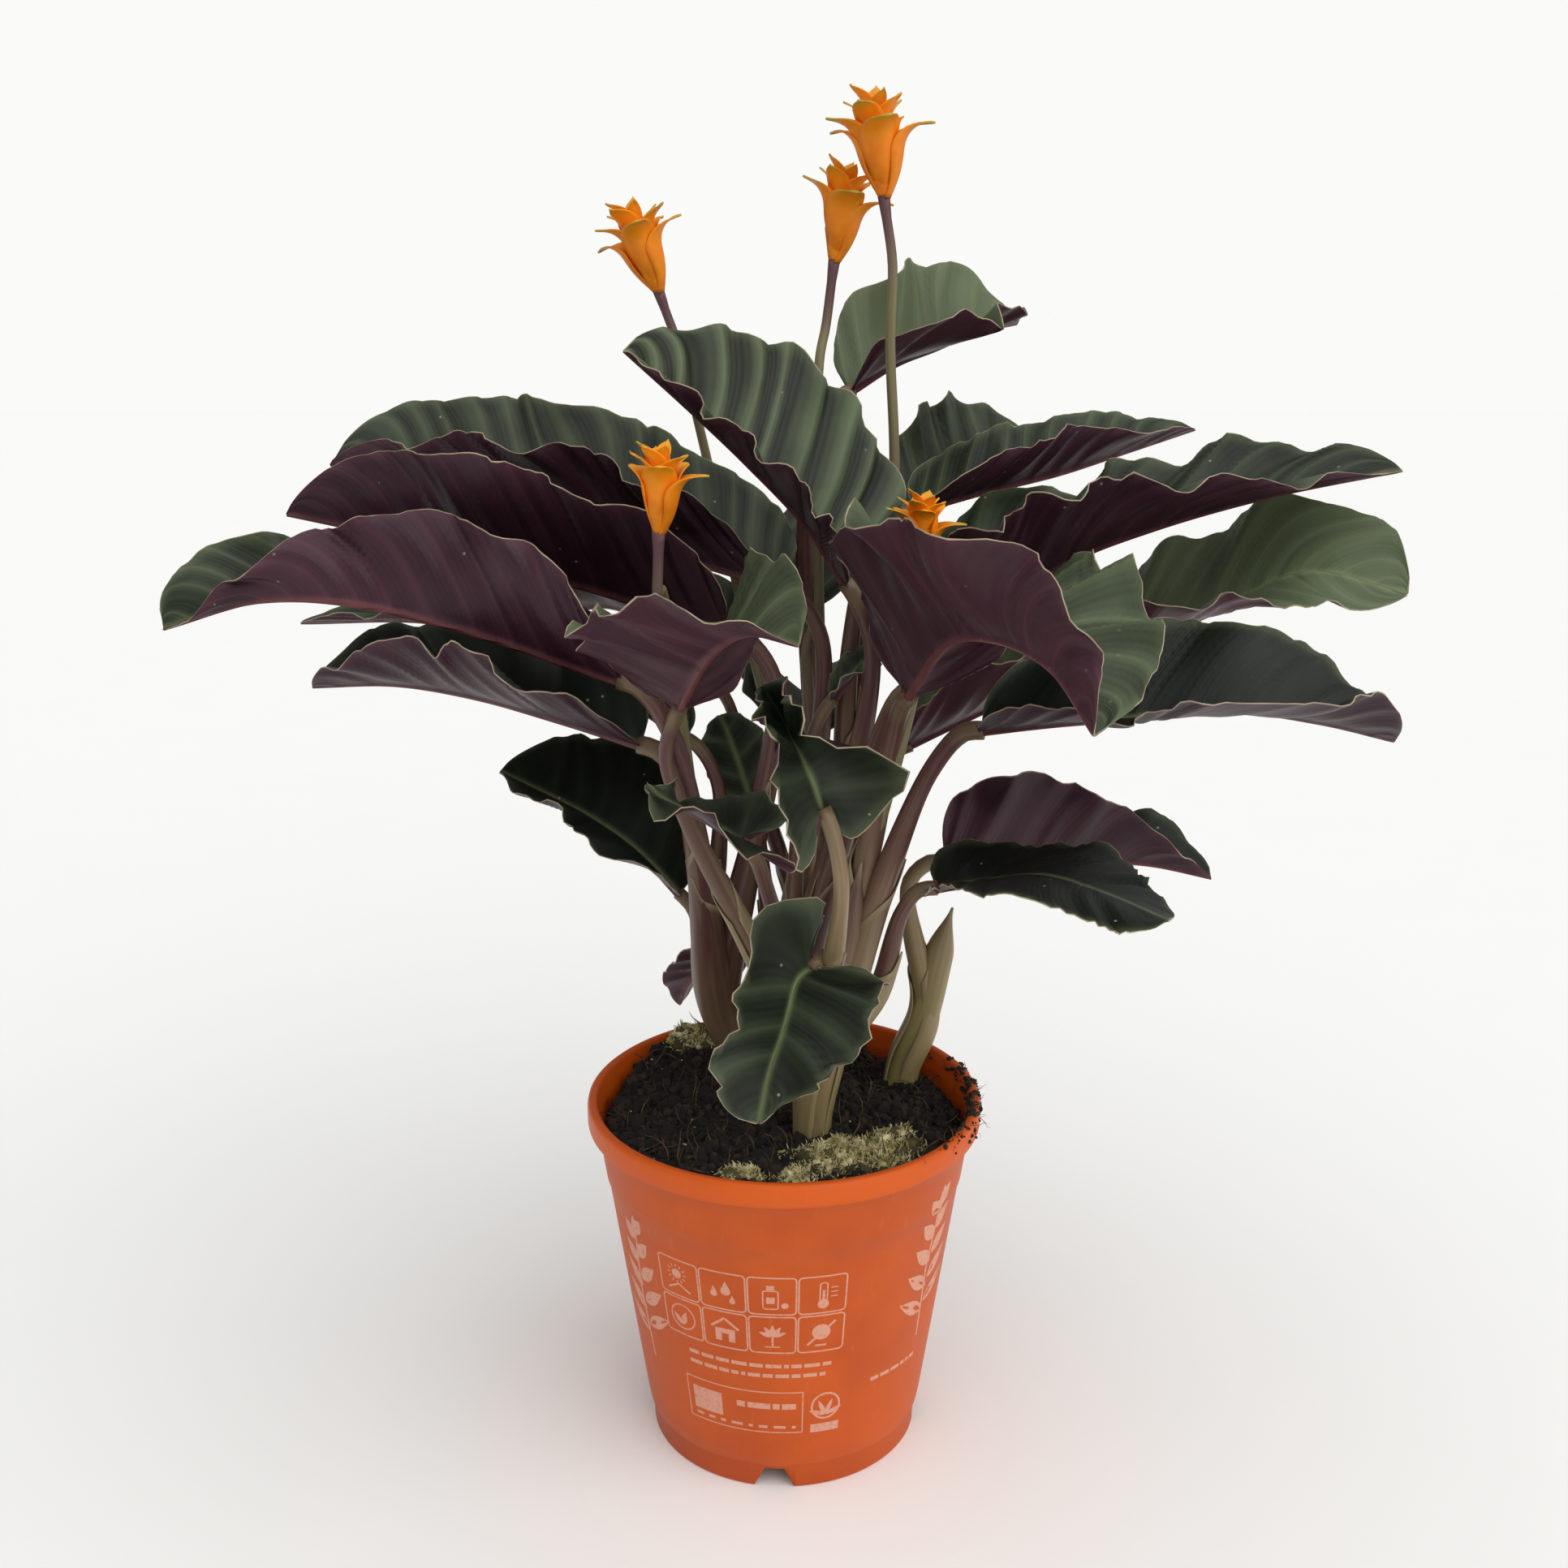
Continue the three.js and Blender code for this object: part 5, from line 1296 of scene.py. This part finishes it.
def makeSoil():
    sectors, rings, edge, foot = (soilShape[key] for key in ("sectors", "rings", "edge", "foot"))
    around = turns(sectors)
    top = []
    for radius in edge * np.linspace(1, 0.01, rings):
        for x, y in ((radius * math.cos(a), radius * math.sin(a)) for a in around):
            sunk = soilShape["slump"] * float(smooth(math.hypot(x, y), soilShape["slumpFrom"], edge))
            top.append((x, y, soilHeight(x, y) - sunk))
    inside = potRadius(foot) - pot["wall"] - pot["step"] - 0.3
    below = lathe([(inside, foot)], around)[0].tolist()
    points = np.array(below + top + [(0, 0, foot), (0, 0, soilHeight(0, 0))])
    near = np.array([math.hypot(x, y) for x, y, z in points]) < soilShape["clearWithin"]
    clear = near * (points[:, 2] > soilShape["clearAbove"]).astype(float)
    moss = np.array([mossShare(x, y) for x, y, z in points]) * clear
    return makePiece("soil_surface", peatMaterial, points, lathedFaces(rings + 1, sectors),
                     bare=clear * (1 - 0.8 * moss), mossy=moss)


def makeSpill():
    angle = np.radians(np.linspace(spill["from"], spill["to"], spill["columns"]))
    clump = np.array([[noise.noise(Vector((a * 14, z / 4, 3))) for a in angle] for r, z in spill["section"]])
    share = np.array(spill["much"])[:, None]
    share = share * np.exp(-((np.degrees(angle)[None, :] - spill["middle"]) / spill["spread"]) ** 2)
    return makePiece("spill_surface", peatMaterial, lathe(spill["section"], angle), gridFaces(*clump.shape),
                     spilt=(share * smooth(clump, -0.15, 0.3)).ravel())


soilPiece, spillPiece = makeSoil(), makeSpill()


# A crumb: a lumpy ball of few faces.
def crumbShape(name, seed):
    mesh = bpy.data.meshes.new(name)
    draw = random.Random(seed)
    golden = (1 + 5 ** 0.5) / 2
    pairs = [(s, t * golden) for s in (-1, 1) for t in (-1, 1)]
    corners = [(0, s, t) for s, t in pairs] + [(s, t, 0) for s, t in pairs] + [(t, 0, s) for s, t in pairs]
    form = bmesh.new()
    for corner in corners:
        form.verts.new(Vector(corner).normalized() * draw.uniform(0.7, 1.15))
    bmesh.ops.convex_hull(form, input=form.verts)
    form.to_mesh(mesh)
    form.free()
    mesh.transform(Matrix.Diagonal((1, 0.8, 0.65, 1)) * mm)
    return showMesh(name, mesh)


# A strand: a thin bent tube, used for fibres and moss.
def strandShape(name, seed, length, radius, bend, rows, sides=3):
    draw = random.Random(seed)
    knots, heading = [(0, 0, 0)], Vector((0, 0, 1))
    for k in range(4):
        heading = (heading + Vector([draw.uniform(-bend, bend) for i in range(3)])).normalized()
        knots.append(tuple(Vector(knots[-1]) + heading * length / 4))
    points = evenLine(knots, rows)[0]
    taper = radius * np.sin(np.pi * np.linspace(0.25, 0.95, rows))
    sideways, others = lineFrames(points, np.array((1.0, 0.1, 0)))
    rings = ringPoints(points, sideways, others, taper[:, None] * np.ones(sides), turns(sides))
    return makePiece(name, fibreMaterial, rings, tubeFaces(rows, sides))


# Bits strewn on a surface where a mark says so.
def strewTree():
    tree, given, add = newTree("bits strewn on a surface", {
        "Collection": ("Shapes",), "String": ("Where",), "Int": ("Seed",), "Material": ("Material",),
        "Float": ("Per Square Metre", "Smallest", "Largest", "Tilt")})
    where = add("GeometryNodeInputNamedAttribute", {"Name": given["Where"]}, data_type="FLOAT")
    density = add("Math MULTIPLY", where, given["Per Square Metre"])
    points = add("GeometryNodeDistributePointsOnFaces", {
        0: given["Geometry"], "Density": density, "Seed": given["Seed"]})
    less = add("Math MULTIPLY", given["Tilt"], -1.0)
    tilt = add("FunctionNodeRandomValue", {2: less, 3: given["Tilt"], "Seed": given["Seed"]}, out=1)
    turn = add("FunctionNodeRandomValue", {2: 0.0, 3: math.tau, "Seed": 11}, out=1)
    skewed = add("Math POWER", add("FunctionNodeRandomValue", {2: 0.0, 3: 1.0, "Seed": 5}, out=1), 2.2)
    shapes = add("GeometryNodeCollectionInfo",
                 {0: given["Shapes"], "Separate Children": True, "Reset Children": False})
    placed = add("GeometryNodeInstanceOnPoints", {
        "Points": points, "Instance": shapes, "Pick Instance": True,
        "Rotation": add("CombineXYZ", {0: tilt, 2: turn}),
        "Scale": add("MapRange", {0: skewed, 3: given["Smallest"], 4: given["Largest"]})})
    endTree(add, placed, given["Material"])
    return tree


# Density is bits for each square metre. strand is a strand's length, radius, bend and rows; without it the
# bits are crumbs.
strew = strewTree()
litter = {
    "soil_crumbs": {
        "where": "bare", "density": 260000, "sizes": (0.45, 3.0), "tilt": 3.0, "seed": 1,
        "material": crumbMaterial},
    "soil_dark_crumbs": {
        "where": "bare", "density": 200000, "sizes": (0.5, 4.0), "tilt": 3.0, "seed": 2,
        "material": peatMaterial},
    "soil_fibres": {
        "where": "bare", "density": 36000, "sizes": (0.4, 1.6), "tilt": 1.5, "seed": 3,
        "material": fibreMaterial, "strand": (9, 0.22, 0.55, 6)},
    "soil_pale_bits": {
        "where": "bare", "density": 7000, "sizes": (0.35, 1.3), "tilt": 3.0, "seed": 7,
        "material": mossMaterial},
    "spilt_crumbs": {
        "where": "spilt", "density": 1500000, "sizes": (0.3, 1.5), "tilt": 3.0, "seed": 8,
        "material": crumbMaterial},
    "spilt_fibres": {
        "where": "spilt", "density": 600000, "sizes": (0.3, 0.8), "tilt": 2.6, "seed": 9,
        "material": fibreMaterial, "strand": (9, 0.2, 0.6, 5)},
    "soil_moss_tufts": {
        "where": "mossy", "density": 330000, "sizes": (0.7, 2.4), "tilt": 3.0, "seed": 6,
        "material": mossMaterial},
    "soil_moss": {
        "where": "mossy", "density": 4200000, "sizes": (0.6, 1.4), "tilt": 1.1, "seed": 4,
        "material": mossMaterial, "strand": (3.0, 0.26, 1.0, 4)},
}
for name, bits in litter.items():
    first = bits["seed"] * 10
    if "strand" in bits:
        shapes = [strandShape("shape_%d" % k, k + first, *bits["strand"]) for k in range(5)]
    else:
        shapes = [crumbShape("shape_%d" % k, k + first) for k in range(4)]
    collection = shelf("shapes", shapes)
    mesh = grow(spillPiece if bits["where"] == "spilt" else soilPiece, strew, {
        "Shapes": collection, "Where": bits["where"], "Per Square Metre": bits["density"],
        "Smallest": bits["sizes"][0], "Largest": bits["sizes"][1], "Tilt": bits["tilt"], "Seed": bits["seed"],
        "Material": bits["material"]})
    piece = showMesh(name, mesh)
    discard(*shapes)
    bpy.data.collections.remove(collection)
    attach(piece, "root")
    print(name, "triangles", sum(len(p.vertices) - 2 for p in mesh.polygons))
discard(spillPiece)
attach(soilPiece, "root")
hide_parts("soil")
print("soil: done")

studio = {
    "floor": "#FBFBF9", "floorShade": "#D8D8D6", "floorSize": 12000,
    "world": "#FFFFFD", "seen": 0.96, "ambient": 0.33,
}


def makeFloor():
    material, add = newMaterial("studio floor, matt white")
    coats = ((add("MapRange", grain(add, 60), 0.3, 0.7, 0.0, 0.02), studio["floorShade"]),)
    finishMaterial(material, add, studio["floor"], coats, (), {"Roughness": 0.9, "Specular IOR Level": 0.0})
    half = studio["floorSize"] / 2
    corners = [(-half, -half, 0), (half, -half, 0), (half, half, 0), (-half, half, 0)]
    makePiece("studio_floor", material, corners, [[0, 1, 2, 3]])


# Plain white all round; the camera sees it brighter than it lights, as a lit paper sweep is.
def makeWorld():
    world = bpy.data.worlds.new("white studio")
    scene.world = world
    world.use_nodes = True
    world.node_tree.nodes.clear()
    add = partial(addNode, world.node_tree)
    seen = add("LightPath", out="Is Camera Ray")
    level = add("MapRange", seen, 0.0, 1.0, studio["ambient"], studio["seen"])
    add("OutputWorld", add("Background", hexColour(studio["world"]), level), out=None)


# Broad soft lamps with no falloff: one overhead, a weaker one from the front.
lamps = {
    "top": {"from": (0.2, -0.35, 1.0), "angle": 95, "strength": 1.8},
    "front": {"from": (1.2, -1.0, 0.55), "angle": 80, "strength": 1.1},
}


def makeLamps():
    for name, lamp in lamps.items():
        light = bpy.data.lights.new(name + "_light", "SUN")
        light.angle, light.energy = math.radians(lamp["angle"]), lamp["strength"]
        thing = bpy.data.objects.new(name + "_light", light)
        scene.collection.objects.link(thing)
        thing.location = lamp["from"]
        thing.rotation_mode = "QUATERNION"
        thing.rotation_quaternion = Vector(lamp["from"]).to_track_quat("Z", "Y")


# The lens takes 1932 by 1932 pixels at a focal length of 2142 pixels. at is in metres.
view = {"at": (0, -0.570, 0.402), "down": 15.6, "pixels": 1932, "focalPixels": 2142, "sensor": 36}


def makeCamera():
    lens = bpy.data.cameras.new("camera")
    lens.sensor_width = view["sensor"]
    lens.lens = view["sensor"] * view["focalPixels"] / view["pixels"]
    lens.clip_start, lens.clip_end = 0.01, 50
    camera = bpy.data.objects.new("camera", lens)
    scene.collection.objects.link(camera)
    camera.location = view["at"]
    camera.rotation_euler = (math.radians(90 - view["down"]), 0, 0)
    scene.camera = camera


makeFloor()
makeWorld()
makeLamps()
makeCamera()
scene.view_settings.view_transform = "Standard"
print("studio: done")
